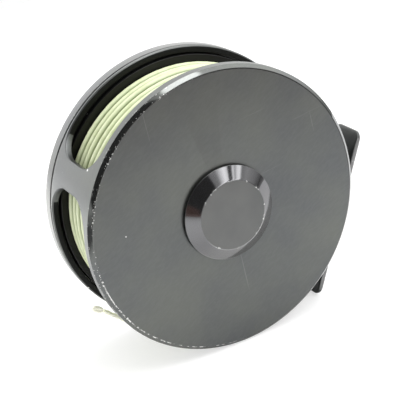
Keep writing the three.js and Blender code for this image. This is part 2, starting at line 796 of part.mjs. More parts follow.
// The cap that holds the spool on: a fluted disc with a neck that reaches the front bearing.
function makeSpoolCap() {
  const { radius, neck, neckEnd, from, to, bore, flutes, flute, slot } = CAP;
  const { groove, grooveFrom, grooveTo } = CAP_SEAL;
  const body = turned([
    [bore, neckEnd],
    [neck, neckEnd],
    [neck, from],
    [radius, from],
    [radius, to - 0.7],
    [radius - 0.8, to],
    [0, to],
    [0, SPINDLE.front + GAP],
    [bore, SPINDLE.front + GAP],
    [bore, grooveTo],
    [groove, grooveTo],
    [groove, grooveFrom],
    [bore, grooveFrom],
  ], 24);
  const fluteCutter = (angle) => movedTo(rod(flute, from - 1, to + 1, 8), radius + flute / 2, angle);
  const coinSlot = new THREE.BoxGeometry(1.3 * radius, slot, 1.5 * slot).translate(0, to, 0);
  return cut(body, ...aroundCircle(flutes, fluteCutter), coinSlot);
}

// ---------------------------------------------------------------- assembly

// Moves a piece drawn about its own axis out to a place on a circle about the spool's axis.
function placed(mesh, radius, angle) {
  mesh.position.copy(onCircle(radius, angle));
  return mesh;
}

function onHandleAxis(mesh) {
  return placed(mesh, HANDLE.circle, 0);
}

function onWeightAxis(mesh) {
  return placed(mesh, HANDLE.circle, 180);
}

function onPawlAxis(mesh) {
  return placed(mesh, PAWL.circle, PAWL.angle);
}

function groupOf(...members) {
  return new THREE.Group().add(...members);
}

const thrustWasher = ring(SPINDLE.radius + FIT, THRUST_WASHER.outer, THRUST_WASHER.from, THRUST_WASHER.to);
const fixedParts = groupOf(
  piece("frame", makeFrame(), "anodised"),
  piece("reel_foot", makeFoot(), "anodised"),
  piece("foot_screw_upper", makeFootScrew(1), "steel"),
  piece("foot_screw_lower", makeFootScrew(-1), "steel"),
  piece("spindle", makeSpindle(), "steel"),
  piece("thrust_washer", thrustWasher, "bronze"),
  piece("carbon_washer_rear", makeCarbonWasher(CARBON.rear), "carbon"),
  piece("carbon_washer_front", makeCarbonWasher(CARBON.front), "carbon"),
  piece("drag_cover", makeDragCover(), "anodised"),
  piece("drag_seal", roundRing(COVER.sealCircle, COVER.seal, (COVER.from + COVER.to) / 2, 20), "rubber"),
  piece("cover_snap_ring", makeSnapRing(COVER_RING), "steel"),
  onPawlAxis(piece("pawl_post", makePawlPost(), "steel")),
  onPawlAxis(piece("click_spring", makeClickSpring(), "steel")),
  piece("line_tag_end", makeLineTag(), "flyLine"),
);

const dragPins = aroundCircle(DRAG_PIN.count, makeDragPin);
const recessInner = KNOB.recessInner + GAP;
const recessOuter = KNOB.recessOuter - GAP;
const { inner: plateInner, outer: plateOuter, from: plateFrom, to: plateTo } = PRESSURE_PLATE;
const knobParts = groupOf(
  piece("drag_knob", makeKnob(), "polished"),
  piece("knob_insert", ring(SPINDLE.radius, KNOB.insert, KNOB.insertBottom, KNOB.underside, 24), "brass"),
);
const dragPlunger = groupOf(
  piece("pressure_plate", ring(plateInner, plateOuter, plateFrom, plateTo), "steel"),
  piece("thrust_ring", ring(recessInner, recessOuter, THRUST_RING.from, THRUST_RING.to), "steel"),
  piece("spring_washer_1", makeSpringWasher(SPRING_WASHER.first), "steel"),
  piece("spring_washer_2", makeSpringWasher(SPRING_WASHER.second), "steel"),
  ...dragPins.map((pin, index) => piece(`drag_pin_${index + 1}`, pin, "steel")),
  knobParts,
);

const rotorBushing = ring(SPINDLE.radius + FIT, ROTOR.bore - FIT / 2, ROTOR.discFrom, ROTOR.end - GAP);
const rotorParts = groupOf(
  piece("drag_rotor", makeRotor(), "steel"),
  piece("rotor_bushing", rotorBushing, "bronze"),
);

const pawlParts = groupOf(onPawlAxis(piece("click_pawl", makePawl(), "steel")));

const washerSeat = HANDLE_POST.top + FIT;
const { inner: washerInner, outer: washerOuter, thickness: washerThickness } = HANDLE_WASHER;
const washerTop = washerSeat + washerThickness;
const handleWasher = ring(washerInner, washerOuter, washerSeat, washerTop);
const innerBushing = makeHandleBushing(HANDLE.base + GAP);
const outerBushing = makeHandleBushing(HANDLE_POST.top - HANDLE_BUSHING.length - GAP);
const handleParts = groupOf(
  onHandleAxis(piece("handle_barrel", makeHandleBarrel(), "plastic")),
  onHandleAxis(piece("handle_bushing_inner", innerBushing, "bronze")),
  onHandleAxis(piece("handle_bushing_outer", outerBushing, "bronze")),
);
const weightScrew = makePanScrew(WEIGHT_SCREW, COUNTERWEIGHT.to + FIT / 2);
const spoolParts = groupOf(
  piece("spool", makeSpool(), "anodised"),
  piece("rear_outer_race", makeOuterRace(REAR_BEARING), "steel"),
  piece("front_outer_race", makeOuterRace(FRONT_BEARING), "steel"),
  piece("bearing_snap_ring", makeSnapRing(BEARING_RING), "steel"),
  piece("clutch_shell", ring(CLUTCH.shell, CLUTCH.outer, CLUTCH.from, CLUTCH.to), "steel"),
  piece("clutch_rollers", makeClutchRollers(), "steel"),
  piece("click_gear", makeClickGear(), "brass"),
  piece("backing", makeLinePack(SPOOL.arbor + GAP, LINE.backing - GAP, 32), "backing"),
  piece("fly_line", makeLinePack(LINE.backing, LINE.radius, 48), "flyLine"),
  onWeightAxis(piece("counterweight", makeCounterweight(), "steel")),
  onWeightAxis(piece("counterweight_screw", weightScrew, "steel")),
  onHandleAxis(piece("handle_post", makeHandlePost(), "steel")),
  onHandleAxis(piece("handle_washer", handleWasher, "steel")),
  onHandleAxis(piece("handle_screw", makePanScrew(HANDLE_SCREW, washerTop + FIT / 2), "steel")),
  handleParts,
);

const capParts = groupOf(
  piece("spool_cap", makeSpoolCap(), "anodised"),
  piece("cap_o_ring", roundRing(CAP_SEAL.circle, CAP_SEAL.section, CAP_SEAL.depth), "rubber"),
);

// What lifts off the spindle with the spool: the sleeve stays still while the rest turns on it.
const sleeve = ring(SPINDLE.radius + FIT, BEARING.inner - FIT / 2, SLEEVE.from, SLEEVE.to);
const liftOffParts = groupOf(
  piece("bearing_sleeve", sleeve, "steel"),
  piece("rear_inner_race", makeInnerRace(REAR_BEARING), "steel"),
  piece("front_inner_race", makeInnerRace(FRONT_BEARING), "steel"),
  piece("rear_ball_cage", makeBallCage(REAR_BEARING), "steel"),
  piece("front_ball_cage", makeBallCage(FRONT_BEARING), "steel"),
  spoolParts,
  capParts,
);

const reel = groupOf(fixedParts, dragPlunger, rotorParts, pawlParts, liftOffParts);
reel.position.set(-AXIS_TO_SEAT, -FOOT_DEPTH, 0);

export default groupOf(reel);
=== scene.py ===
"""The looks of a fly reel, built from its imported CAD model.

Every CAD node is stood for by a finer piece of the same shape: turned pieces are turned again from the
outline the CAD node has, with rounded corners and many more sides, and the line is wound turn by turn.
Lengths in the named values are in millimetres. Radii are from the spool's axis, depths are along +Y from
the plate's outer face, and angles run from +X towards +Z.
"""

import math
import random

import bmesh
import bpy
from mathutils import Matrix, Vector
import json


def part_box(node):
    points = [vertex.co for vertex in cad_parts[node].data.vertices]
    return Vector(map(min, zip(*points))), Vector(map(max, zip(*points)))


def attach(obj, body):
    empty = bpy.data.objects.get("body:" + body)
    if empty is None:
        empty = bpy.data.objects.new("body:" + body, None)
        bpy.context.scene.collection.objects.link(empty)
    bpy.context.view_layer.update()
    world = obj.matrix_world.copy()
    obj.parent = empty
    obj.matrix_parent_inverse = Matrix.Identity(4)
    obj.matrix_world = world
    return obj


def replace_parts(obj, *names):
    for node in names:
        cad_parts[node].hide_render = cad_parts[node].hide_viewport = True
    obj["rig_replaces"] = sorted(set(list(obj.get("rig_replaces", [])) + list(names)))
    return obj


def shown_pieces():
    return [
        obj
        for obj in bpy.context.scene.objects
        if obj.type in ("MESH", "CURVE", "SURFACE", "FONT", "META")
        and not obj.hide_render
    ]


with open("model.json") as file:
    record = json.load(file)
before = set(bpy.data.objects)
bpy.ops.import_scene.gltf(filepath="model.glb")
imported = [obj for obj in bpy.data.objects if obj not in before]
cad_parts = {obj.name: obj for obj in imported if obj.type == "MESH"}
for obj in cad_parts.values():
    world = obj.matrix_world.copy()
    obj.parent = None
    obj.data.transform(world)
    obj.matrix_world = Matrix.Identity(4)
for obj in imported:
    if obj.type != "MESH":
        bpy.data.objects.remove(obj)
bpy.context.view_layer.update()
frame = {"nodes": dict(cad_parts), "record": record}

MM = 0.001
NODES = frame["nodes"]
RECORD = frame["record"]
BODY_OF = {node: body for body, members in RECORD["behaviour"]["bodies"].items() for node in members}
SLOT_OF = {part["node"]: part["material_slot"] for part in RECORD["subparts"]}


# ---------------------------------------------------------------- measures read from the frame

def middle(node):
    low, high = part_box(node)
    return (low + high) / 2


def size(node):
    low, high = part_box(node)
    return (high - low) / MM


AXIS = middle("spindle")
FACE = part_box("frame")[0].y
RIM = size("spool").z / 2
FOOT_SIZE = size("reel_foot")
HANDLE_CIRCLE = (middle("handle_barrel").x - AXIS.x) / MM


def reach(node):
    """The radius of a node about the spool's axis and the two depths it runs between, in mm."""
    low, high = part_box(node)
    return (high.z - low.z) / 2 / MM, (low.y - FACE) / MM, (high.y - FACE) / MM


def polar(point):
    """A point's radius in mm, depth in mm and angle in degrees."""
    x, y, z = (point.x - AXIS.x) / MM, (point.y - FACE) / MM, (point.z - AXIS.z) / MM
    return math.hypot(x, z), y, math.degrees(math.atan2(z, x)) % 360


def on_circle(radius, angle, depth=0.0):
    turn = math.radians(angle)
    return Vector((radius * math.cos(turn), depth, radius * math.sin(turn)))


def along_y(centre):
    """Where a piece turned about the Y axis, drawn in mm from the plate's face, stands in the row frame."""
    return Matrix.Translation((centre.x, FACE, centre.z)) @ Matrix.Scale(MM, 4)


SPOOL_AXIS = along_y(AXIS)


# ---------------------------------------------------------------- meshes

SHARP = math.radians(32)  # a steeper edge than this stays crisp
GENTLE = math.radians(30)  # a shallower corner than this is part of a curve


def shade(mesh):
    """Smooth shading, with the steep edges left crisp."""
    bm = bmesh.new()
    bm.from_mesh(mesh)
    for face in bm.faces:
        face.smooth = True
    for edge in bm.edges:
        edge.smooth = len(edge.link_faces) != 2 or edge.calc_face_angle(0) < SHARP
    bm.to_mesh(mesh)
    bm.free()


def added(name, data):
    """A new object in the scene."""
    thing = bpy.data.objects.new(name, data)
    bpy.context.scene.collection.objects.link(thing)
    return thing


def mesh_from(name, bm):
    mesh = bpy.data.meshes.new(name)
    bm.to_mesh(mesh)
    bm.free()
    return mesh


def piece_from(name, bm, place):
    """Puts a bmesh drawn in mm into the scene as an object whose mesh is in the row frame."""
    bmesh.ops.transform(bm, matrix=place, verts=bm.verts)
    bmesh.ops.recalc_face_normals(bm, faces=bm.faces)
    mesh = mesh_from(name, bm)
    shade(mesh)
    return added(name, mesh)


def settle(piece):
    """Applies a piece's modifiers."""
    bpy.context.view_layer.update()
    graph = bpy.context.evaluated_depsgraph_get()
    piece.data = bpy.data.meshes.new_from_object(piece.evaluated_get(graph))
    piece.modifiers.clear()
    shade(piece.data)


def combine(piece, operation, others):
    """Joins or cuts a piece with others, which are used up."""
    for other in others:
        step = piece.modifiers.new("combine", "BOOLEAN")
        step.operation = operation
        step.solver = "MANIFOLD"
        step.object = other
    settle(piece)
    for other in others:
        bpy.data.objects.remove(other)


def ready_mesh(node):
    """A CAD node's own mesh as a bmesh, with its split corners joined again."""
    bm = bmesh.new()
    bm.from_mesh(NODES[node].data)
    bmesh.ops.remove_doubles(bm, verts=bm.verts, dist=1e-7)
    return bm


# ---------------------------------------------------------------- turned pieces

PLAIN_CUT = 7.3  # an angle at which no plain turned node has a corner
SPOOL_CUT = 15.0  # between the spool's ports
FRAME_CUT = 178.35  # inside the frame's narrow pillar
FLAT_LOSS = 1.04  # how far inside its true circle a flat side of a CAD node can run
SAME_SPOT = 2e-3  # points of an outline closer than this are one point
ON_AXIS = 1e-3  # a smaller radius than this is on the axis
STRAIGHT = 0.012  # a smaller turn than this, in radians, is no corner
ROUND_STEPS = 4  # straight pieces that a rounded corner is made of
SIDES = ((20, 192), (7, 128), (0, 64))  # (a radius, the number of sides of a turned piece wider than that)


def section(bm, along, across):
    """The closed outlines where the plane through along cuts a triangulated bmesh, as (distance, depth)."""
    crossing = {}
    for edge in bm.edges:
        start, end = (vert.co.dot(across) for vert in edge.verts)
        if (start < 0) != (end < 0):
            spot = edge.verts[0].co.lerp(edge.verts[1].co, start / (start - end))
            crossing[edge] = Vector((spot.dot(along), spot.y))
    links = {edge: [] for edge in crossing}
    for face in bm.faces:
        cut = [edge for edge in face.edges if edge in crossing]
        if cut:
            links[cut[0]].append(cut[1])
            links[cut[1]].append(cut[0])
    loops = []
    while links:
        here = next(iter(links))
        loop = []
        while here is not None:
            loop.append(crossing[here])
            here = next((edge for edge in links.pop(here) if edge in links), None)
        loops.append(loop)
    return loops


def straightened(points, closed):
    """Drops the points that lie on a straight stretch."""
    kept = []
    for index, point in enumerate(points):
        if kept and (point - kept[-1]).length < SAME_SPOT:
            continue
        if not closed and index in (0, len(points) - 1):
            kept.append(point)
            continue
        before = point - kept[-1] if kept else point - points[-1]
        others = points[index + 1:] + points[:index]
        after = next(other - point for other in others if (other - point).length > SAME_SPOT)
        if before.length < SAME_SPOT or before.angle(after) > STRAIGHT:
            kept.append(point)
    return kept


def outline_of(node, angle=PLAIN_CUT, centre=None, turn_to_y=None):
    """The outline on one side of the axis of a turned CAD node, as (radius, depth) in mm.

    The CAD's flat sides run a little inside the true circle, so each corner takes its radius from the
    node's own vertices at that depth. An outline that reaches the axis starts and ends on it.
    """
    bm = ready_mesh(node)
    place = turn_to_y or along_y(centre or middle(node))
    bmesh.ops.transform(bm, matrix=place.inverted(), verts=bm.verts)
    bmesh.ops.triangulate(bm, faces=bm.faces)
    true = [(vert.co.y, math.hypot(vert.co.x, vert.co.z)) for vert in bm.verts]
    loops = section(bm, on_circle(1, angle), on_circle(1, angle + 90))
    bm.free()
    loop = max(loops, key=lambda points: max(point.x for point in points))
    closed = all(point.x > ON_AXIS for point in loop)
    if not closed:
        first = next(i for i, point in enumerate(loop) if point.x > ON_AXIS and loop[i - 1].x <= ON_AXIS)
        loop = loop[first:] + loop[:first]
        last = next(i for i, point in enumerate(loop) if point.x <= ON_AXIS)
        loop = [Vector((0.0, loop[0].y)), *loop[:last], Vector((0.0, loop[last - 1].y))]
    corners = []
    for point in straightened(loop, closed):
        level = [radius for depth, radius in true if abs(depth - point.y) < SAME_SPOT]
        fits = [radius for radius in level if point.x - ON_AXIS < radius < point.x * FLAT_LOSS]
        corners.append(Vector((min(fits, default=point.x) if point.x > ON_AXIS else 0.0, point.y)))
    return corners, closed


def rounded(points, closed, radius):
    """Rounds every corner of an outline, and turns its gentle corners into one smooth curve."""
    points = [Vector(point) for point in points]
    soft = []
    for index, corner in enumerate(points):
        if not closed and index in (0, len(points) - 1):
            soft.append(corner)
            continue
        back = points[index - 1] - corner
        on = points[(index + 1) % len(points)] - corner
        turn = math.pi - back.angle(on)
        shortest = min(back.length, on.length)
        away = shortest * 0.5 if turn < GENTLE else min(radius * math.tan(turn / 2), shortest * 0.4)
        start, end = corner + back.normalized() * away, corner + on.normalized() * away
        for step in range(ROUND_STEPS + 1):
            t = step / ROUND_STEPS
            soft.append(start * (1 - t) ** 2 + corner * 2 * t * (1 - t) + end * t * t)
    return [p for index, p in enumerate(soft) if index == 0 or (p - soft[index - 1]).length > 1e-4]


def bridge(bm, rings):
    """Faces between each ring of vertices and the next. A ring that is all one vertex gives triangles."""
    for ring, other in zip(rings, rings[1:]):
        for side in range(len(ring)):
            after = (side + 1) % len(ring)
            corners = dict.fromkeys([ring[side], ring[after], other[after], other[side]])
            if len(corners) > 2:
                bm.faces.new(corners)


def turned(name, points, closed, place, soften=0.0):
    """A solid turned from an outline about the Y axis of place, with its corners rounded by soften."""
    if soften:
        points = rounded(points, closed, soften)
    widest = max(point[0] for point in points)
    count = next(sides for limit, sides in SIDES if widest > limit)
    bm = bmesh.new()
    rows = []
    for radius, depth in points:
        if radius < ON_AXIS:
            rows.append([bm.verts.new((0, depth, 0))] * count)
        else:
            rows.append([bm.verts.new(on_circle(radius, 360 * side / count, depth)) for side in range(count)])
    bridge(bm, rows + rows[:1] if closed else rows)
    return piece_from(name, bm, place)


def rod(radius, start, end, place, flare=0.0):
    """A round cutter along the Y axis of place. With a flare it widens at both ends and runs on past them."""
    points = [(0, start), (radius, start), (radius, end), (0, end)]
    if flare:
        wide = radius + flare
        past = 1.0
        points = [(0, start - past), (wide + past, start - past), (wide, start), (radius, start + flare)]
        points += [(radius, end - flare), (wide, end), (wide + past, end + past), (0, end + past)]
    return turned("cutter", points, False, place)


def shifted(radius, angle):
    """The spool's axis moved out to a place on a circle about it."""
    return SPOOL_AXIS @ Matrix.Translation(on_circle(radius, angle))


# ---------------------------------------------------------------- materials

class Nodes:
    """A node tree being built. Each call adds a node and gives back an output of it."""

    def __init__(self, tree):
        self.tree = tree

    def add(self, kind, inputs=None, **settings):
        node = self.tree.nodes.new(kind)
        for key, value in settings.items():
            setattr(node, key, value)
        for key, value in (inputs or {}).items():
            self.feed(node.inputs[key], value)
        return node

    def feed(self, socket, value):
        if isinstance(value, bpy.types.NodeSocket):
            self.tree.links.new(value, socket)
        elif isinstance(value, tuple) and len(value) == 3 and socket.type == "RGBA":
            socket.default_value = (*value, 1)
        else:
            socket.default_value = value

    def math(self, operation, a, b=0.0):
        return self.add("ShaderNodeMath", {0: a, 1: b}, operation=operation).outputs[0]

    def times(self, a, b):
        return self.math("MULTIPLY", a, b)

    def plus(self, a, b):
        return self.math("ADD", a, b)

    def minus(self, a, b):
        return self.math("SUBTRACT", a, b)

    def most(self, a, b):
        return self.math("MAXIMUM", a, b)

    def hypotenuse(self, a, b):
        return self.math("SQRT", self.plus(self.times(a, a), self.times(b, b)))

    def parts(self, vector):
        return self.add("ShaderNodeSeparateXYZ", {0: vector}).outputs

    def ramp(self, value, low, high, to_low=0.0, to_high=1.0, kind="SMOOTHSTEP"):
        inputs = {"Value": value, "From Min": low, "From Max": high, "To Min": to_low, "To Max": to_high}
        return self.add("ShaderNodeMapRange", inputs, interpolation_type=kind).outputs[0]

    def mix(self, share, a, b):
        return self.add("ShaderNodeMix", {0: share, 6: a, 7: b}, data_type="RGBA").outputs[2]


class Look(Nodes):
    """A material being built round its one surface node."""

    def __init__(self, name, **values):
        self.material = bpy.data.materials.new(name)
        self.material.use_nodes = True
        super().__init__(self.material.node_tree)
        self.surface = self.tree.nodes["Principled BSDF"]
        self.place = self.add("ShaderNodeTexCoord").outputs["Object"]
        for key, value in values.items():
            self.set(key.replace("_", " ").title(), value)

    def set(self, name, value):
        self.feed(self.surface.inputs[name], value)

    def finish(self, colour, roughness, normal):
        """Sets what nearly every material ends with, and gives the material back."""
        self.set("Base Color", colour)
        self.set("Roughness", roughness)
        self.set("Normal", normal)
        return self

    def stretched(self, stretch, turn=(0.0, 0.0, 0.0)):
        """The place in space, turned and then scaled unevenly, so that noise laid over it runs in streaks."""
        inputs = {"Vector": self.place, "Rotation": turn}
        aimed = self.add("ShaderNodeVectorRotate", inputs, rotation_type="EULER_XYZ").outputs[0]
        return self.add("ShaderNodeMapping", {"Vector": aimed, "Scale": stretch}).outputs[0]

    def noise(self, per_mm, detail=2.0, vector=None, distortion=0.0):
        """Cloudy noise with about this many blotches to a millimetre."""
        inputs = {"Vector": vector or self.place, "Scale": per_mm / MM}
        inputs.update({"Detail": detail, "Distortion": distortion})
        return self.add("ShaderNodeTexNoise", inputs).outputs[0]

    def rings(self, value, per_mm, detail=3.0):
        """Uneven lines across a value in metres, such as the marks a turning tool leaves."""
        inputs = {"W": value, "Scale": per_mm / MM, "Detail": detail}
        return self.add("ShaderNodeTexNoise", inputs, noise_dimensions="1D").outputs[0]

    def axes(self, centre=AXIS):
        """The radius, depth and angle about an axis of the point being shaded, in metres and radians."""
        parts = self.parts(self.place)
        x, z = self.minus(parts[0], centre.x), self.minus(parts[2], centre.z)
        return self.hypotenuse(x, z), self.minus(parts[1], FACE), self.math("ARCTAN2", z, x)

    def toward(self, angle, side):
        """How far an angle in radians faces a side in degrees: 1 on that side, -1 on the opposite one."""
        return self.math("COSINE", self.minus(angle, math.radians(side)))

    def zone(self, radius, depth, limits):
        """1 within (least radius, greatest radius, least depth, greatest depth) in mm, with soft borders."""
        return self.times(self.within(radius, *limits[:2]), self.within(depth, *limits[2:]))

    def near_edge(self, radius, depth, edge, fade):
        """1 on a turned edge given as (radius, depth) in mm, fading to 0 at fade mm away."""
        offset = self.hypotenuse(self.minus(radius, edge[0] * MM), self.minus(depth, edge[1] * MM))
        return self.ramp(offset, 0.0, fade * MM, 1.0, 0.0)

    def within(self, value, low, high, soft=0.05):
        """1 where a value in metres lies between two limits in mm, with soft borders."""
        above = self.ramp(value, (low - soft) * MM, (low + soft) * MM)
        below = self.ramp(value, (high - soft) * MM, (high + soft) * MM, 1.0, 0.0)
        return self.times(above, below)

    def bump(self, height, depth_mm, under=None):
        inputs = {"Height": height, "Distance": depth_mm * MM, "Strength": 1.0}
        if under is not None:
            inputs["Normal"] = under
        return self.add("ShaderNodeBump", inputs).outputs[0]


BARE_METAL = (0.78, 0.78, 0.76)
POLISH = 0.07  # roughness of a bright cut
WORN_SIDE = 190.0  # the side that gets knocked, in degrees
REST_SIDE = 252.0  # the side the reel is set down on
PAINTED_LINE_SIDE = 70.0  # the side where a thin painted shade line runs along the bright cut


def tinted(colour, share):
    """A colour made lighter or darker, all of it by one share or each part by its own."""
    shares = share if isinstance(share, tuple) else (share,) * 3
    return tuple(part * own for part, own in zip(colour, shares))


def turned_metal(name, colour, roughness, mark=0.0006, centre=AXIS):
    """Bright metal with the fine rings that turning leaves and a little tarnish."""
    look = Look(name, metallic=1.0)
    radius, depth, _ = look.axes(centre)
    marks = look.rings(look.plus(radius, look.times(depth, 1.7)), 9.0)
    clouds = look.noise(0.25, 3.0)
    tone = look.mix(look.ramp(clouds, 0.35, 0.7), colour, tinted(colour, 0.72))
    rough = look.plus(look.plus(look.times(marks, 0.18), roughness - 0.09), look.times(clouds, 0.1))
    return look.finish(tone, rough, look.bump(marks, mark, look.bump(look.noise(3.0, 2.0), mark * 0.5)))


def hairlines(look):
    """A few long fine scratches in two directions."""
    scratches = 0.0
    for turn, offset in ((0.5, 0.0), (2.1, 3.0)):
        streak = look.noise(1.0, 1.0, look.stretched((1.6, 1.0, 0.03), (0.0, turn, offset)), 0.4)
        scratches = look.plus(scratches, look.ramp(streak, 0.76, 0.82))
    return look.times(look.math("MINIMUM", scratches, 1.0), 0.07)


def rubbed_edges(look, radius, depth, angle, edges):
    """Specks knocked out of the edges on one side, and a thin bare line where the reel is set down."""
    clusters = look.ramp(look.noise(0.16, 2.0), 0.42, 0.62)
    specks = look.ramp(look.plus(look.noise(1.7, 3.0), look.times(clusters, 0.07)), 0.64, 0.69)
    specks = look.times(specks, look.ramp(look.toward(angle, WORN_SIDE), 0.3, 0.8))
    below = look.ramp(look.toward(angle, REST_SIDE), 0.72, 0.95)
    rubbed = look.times(below, look.ramp(look.noise(0.6, 2.0), 0.44, 0.56))
    worn = 0.0
    for edge_radius, edge_depth, strength in edges:
        close = look.near_edge(radius, depth, (edge_radius, edge_depth), 0.5)
        spots = look.times(look.ramp(close, 0.05, 0.25), specks)
        line = look.times(look.ramp(close, 0.6, 0.85), rubbed)
        worn = look.most(worn, look.times(look.most(spots, line), strength))
    return worn


def dings(look, speckle):
    """Small spots knocked through the finish, far apart."""
    cells = look.add("ShaderNodeTexVoronoi", {"Vector": look.place, "Scale": 0.16 / MM})
    chosen = look.parts(cells.outputs["Color"])[0]
    spot = look.ramp(look.plus(cells.outputs["Distance"], look.times(speckle, 0.05)), 0.095, 0.07)
    return look.times(spot, look.ramp(chosen, 0.88, 0.89))


def anodised(name, colour, roughness, edges=(), wear=1.0, shaded_zones=(), polished=None):
    """Dark satin anodised aluminium: faint turning rings, fine brushing, and edges rubbed to bare metal.

    Edges are (radius, depth, strength) in mm. A shaded zone is an inner surface whose colour is darkened, a
    painted shade, and polished is the zone of a bright cut.
    """
    look = Look(name, metallic=0.9)
    radius, depth, angle = look.axes()
    marks = look.rings(look.plus(radius, look.times(depth, 1.7)), 7.0)
    clouds = look.noise(0.035, 3.0)
    speckle = look.noise(5.0, 2.0)
    brushed = look.noise(1.6, 3.0, look.stretched((1.0, 1.0, 0.3), (0.0, -0.6, 0.0)), 0.3)
    cool, warm = tinted(colour, (0.87, 0.89, 0.94)), tinted(colour, (1.08, 1.10, 1.04))
    tone = look.mix(look.ramp(clouds, 0.3, 0.7), cool, warm)
    tone = look.mix(look.ramp(brushed, 0.35, 0.7, 0.0, 0.16), tone, tinted(colour, 1.5))
    satin = look.plus(look.times(marks, 0.1), look.plus(roughness - 0.1, look.times(brushed, 0.1)))
    if polished:
        cut = look.zone(radius, depth, polished)
        satin = look.plus(look.times(satin, look.minus(1.0, cut)), look.times(cut, POLISH))
        # a painted shade line: a thin dark line painted along the bright cut's inner edge, on one side only
        line = look.ramp(look.near_edge(radius, depth, (polished[0] + 0.15, 0.0), 0.35), 0.2, 0.6)
        line = look.times(line, look.ramp(look.toward(angle, PAINTED_LINE_SIDE), 0.4, 0.8))
        tone = look.mix(look.times(line, 0.85), tone, (0.01, 0.01, 0.01))
    # painted shade: inside the frame and the spool the colour is darkened where shade falls
    painted_shade = 0.0
    for limits in shaded_zones:
        painted_shade = look.most(painted_shade, look.zone(radius, depth, limits))
    tone = look.mix(painted_shade, tone, tinted(colour, 0.13))
    scratches = hairlines(look)
    worn = look.most(rubbed_edges(look, radius, depth, angle, edges), dings(look, speckle))
    worn = look.times(worn, wear)
    tone = look.mix(worn, look.mix(scratches, tone, BARE_METAL), BARE_METAL)
    grain = look.bump(marks, 0.0006, look.bump(look.times(speckle, satin), 0.003))
    grain = look.bump(look.plus(worn, scratches), -0.02, grain)
    return look.finish(tone, look.most(satin, look.times(worn, 0.3)), grain)


def foot_finish():
    """The foot's own anodising, rubbed pale along its long edges and at its ends."""
    look = Look("foot_anodised", metallic=0.9)
    parts = look.parts(look.place)
    centre = middle("reel_foot")
    half_width, half_length = FOOT_SIZE.y / 2, FOOT_SIZE.z / 2
    across = look.math("ABSOLUTE", look.minus(parts[1], centre.y))
    along = look.math("ABSOLUTE", look.minus(parts[2], centre.z))
    side = look.ramp(across, (half_width - 1.2) * MM, half_width * MM)
    tip = look.ramp(along, (half_length - 4.0) * MM, half_length * MM)
    near = look.most(side, tip)
    patches = look.plus(look.noise(0.45, 4.0), look.times(look.noise(2.2, 2.0), 0.25))
    worn = look.times(look.ramp(look.plus(patches, look.times(near, 0.2)), 0.93, 1.0), near)
    clouds = look.noise(0.12, 3.0)
    tone = look.mix(look.ramp(clouds, 0.35, 0.7), (0.065, 0.068, 0.068), (0.10, 0.103, 0.10))
    band = look.ramp(across, (half_width - 0.3) * MM, (half_width - 0.1) * MM)
    tone = look.mix(band, tone, (0.2, 0.2, 0.2))
    tone = look.mix(look.times(worn, 0.85), tone, (0.62, 0.63, 0.62))
    rough = look.plus(look.ramp(clouds, 0.3, 0.7, 0.34, 0.44), look.times(worn, 0.08))
    drawn = look.noise(3.0, 2.0, look.stretched((1.0, 1.0, 0.1)))
    return look.finish(tone, rough, look.bump(drawn, 0.004, look.bump(look.noise(5.0, 2.0), 0.0015)))


KNOB_SLOPE = 4.05  # how far the edge of the knob's top lies in from its widest circle
KNOB_LAND = 0.45  # height of the knob's plain lowest band
KNOB_LAND_EDGE = (-1.12, -1.04)  # the depths between which the bright flank turns into that satin band
KNOB_LIT_SIDE = -50  # the side where the flank is painted lighter and its edges show painted highlight lines, in degrees


def polished_knob():
    """The drag knob: a mirror-bright dark flank and a satin top, with small nicks round the top's edge. On
    one side the flank is painted lighter and its two edges carry painted highlight lines.
    """
    look = Look("knob_polished", metallic=0.92)
    radius, depth, angle = look.axes()
    widest, top, bottom = reach("drag_knob")
    top_edge, land_edge = (widest - KNOB_SLOPE, top), (widest, bottom - KNOB_LAND)
    top = look.ramp(look.minus(depth, top * MM), 0.08 * MM, 0.02 * MM)
    satin = look.most(top, look.ramp(depth, KNOB_LAND_EDGE[0] * MM, KNOB_LAND_EDGE[1] * MM))
    clouds = look.noise(0.08, 3.0)
    nicks = look.ramp(look.noise(0.8, 2.0), 0.62, 0.68)
    nicks = look.times(nicks, look.near_edge(radius, depth, top_edge, 0.6))
    flat = look.mix(look.ramp(clouds, 0.3, 0.7), (0.128, 0.131, 0.130), (0.15, 0.152, 0.149))
    # painted highlight: rubbed here is the side facing the light, where the flank is painted lighter and
    # light lines are painted along both edges
    rubbed = look.toward(angle, KNOB_LIT_SIDE)
    lines = look.near_edge(radius, depth, top_edge, 0.3)
    lines = look.most(lines, look.near_edge(radius, depth, land_edge, 0.35))
    lines = look.times(look.times(lines, look.ramp(rubbed, 0.1, 0.6)), 0.7)
    flank = look.mix(look.ramp(rubbed, 0.2, 0.9), (0.165, 0.165, 0.17), (0.25, 0.25, 0.25))
    flank = look.mix(lines, flank, (0.5, 0.5, 0.5))
    tone = look.mix(nicks, look.mix(satin, flank, flat), BARE_METAL)
    marks = look.rings(look.plus(radius, depth), 8.0)
    rough = look.plus(look.times(satin, 0.3), look.plus(POLISH, look.times(marks, 0.05)))
    grain = look.bump(look.times(look.noise(5.0), satin), 0.0012)
    return look.finish(tone, rough, look.bump(marks, 0.00025, grain))


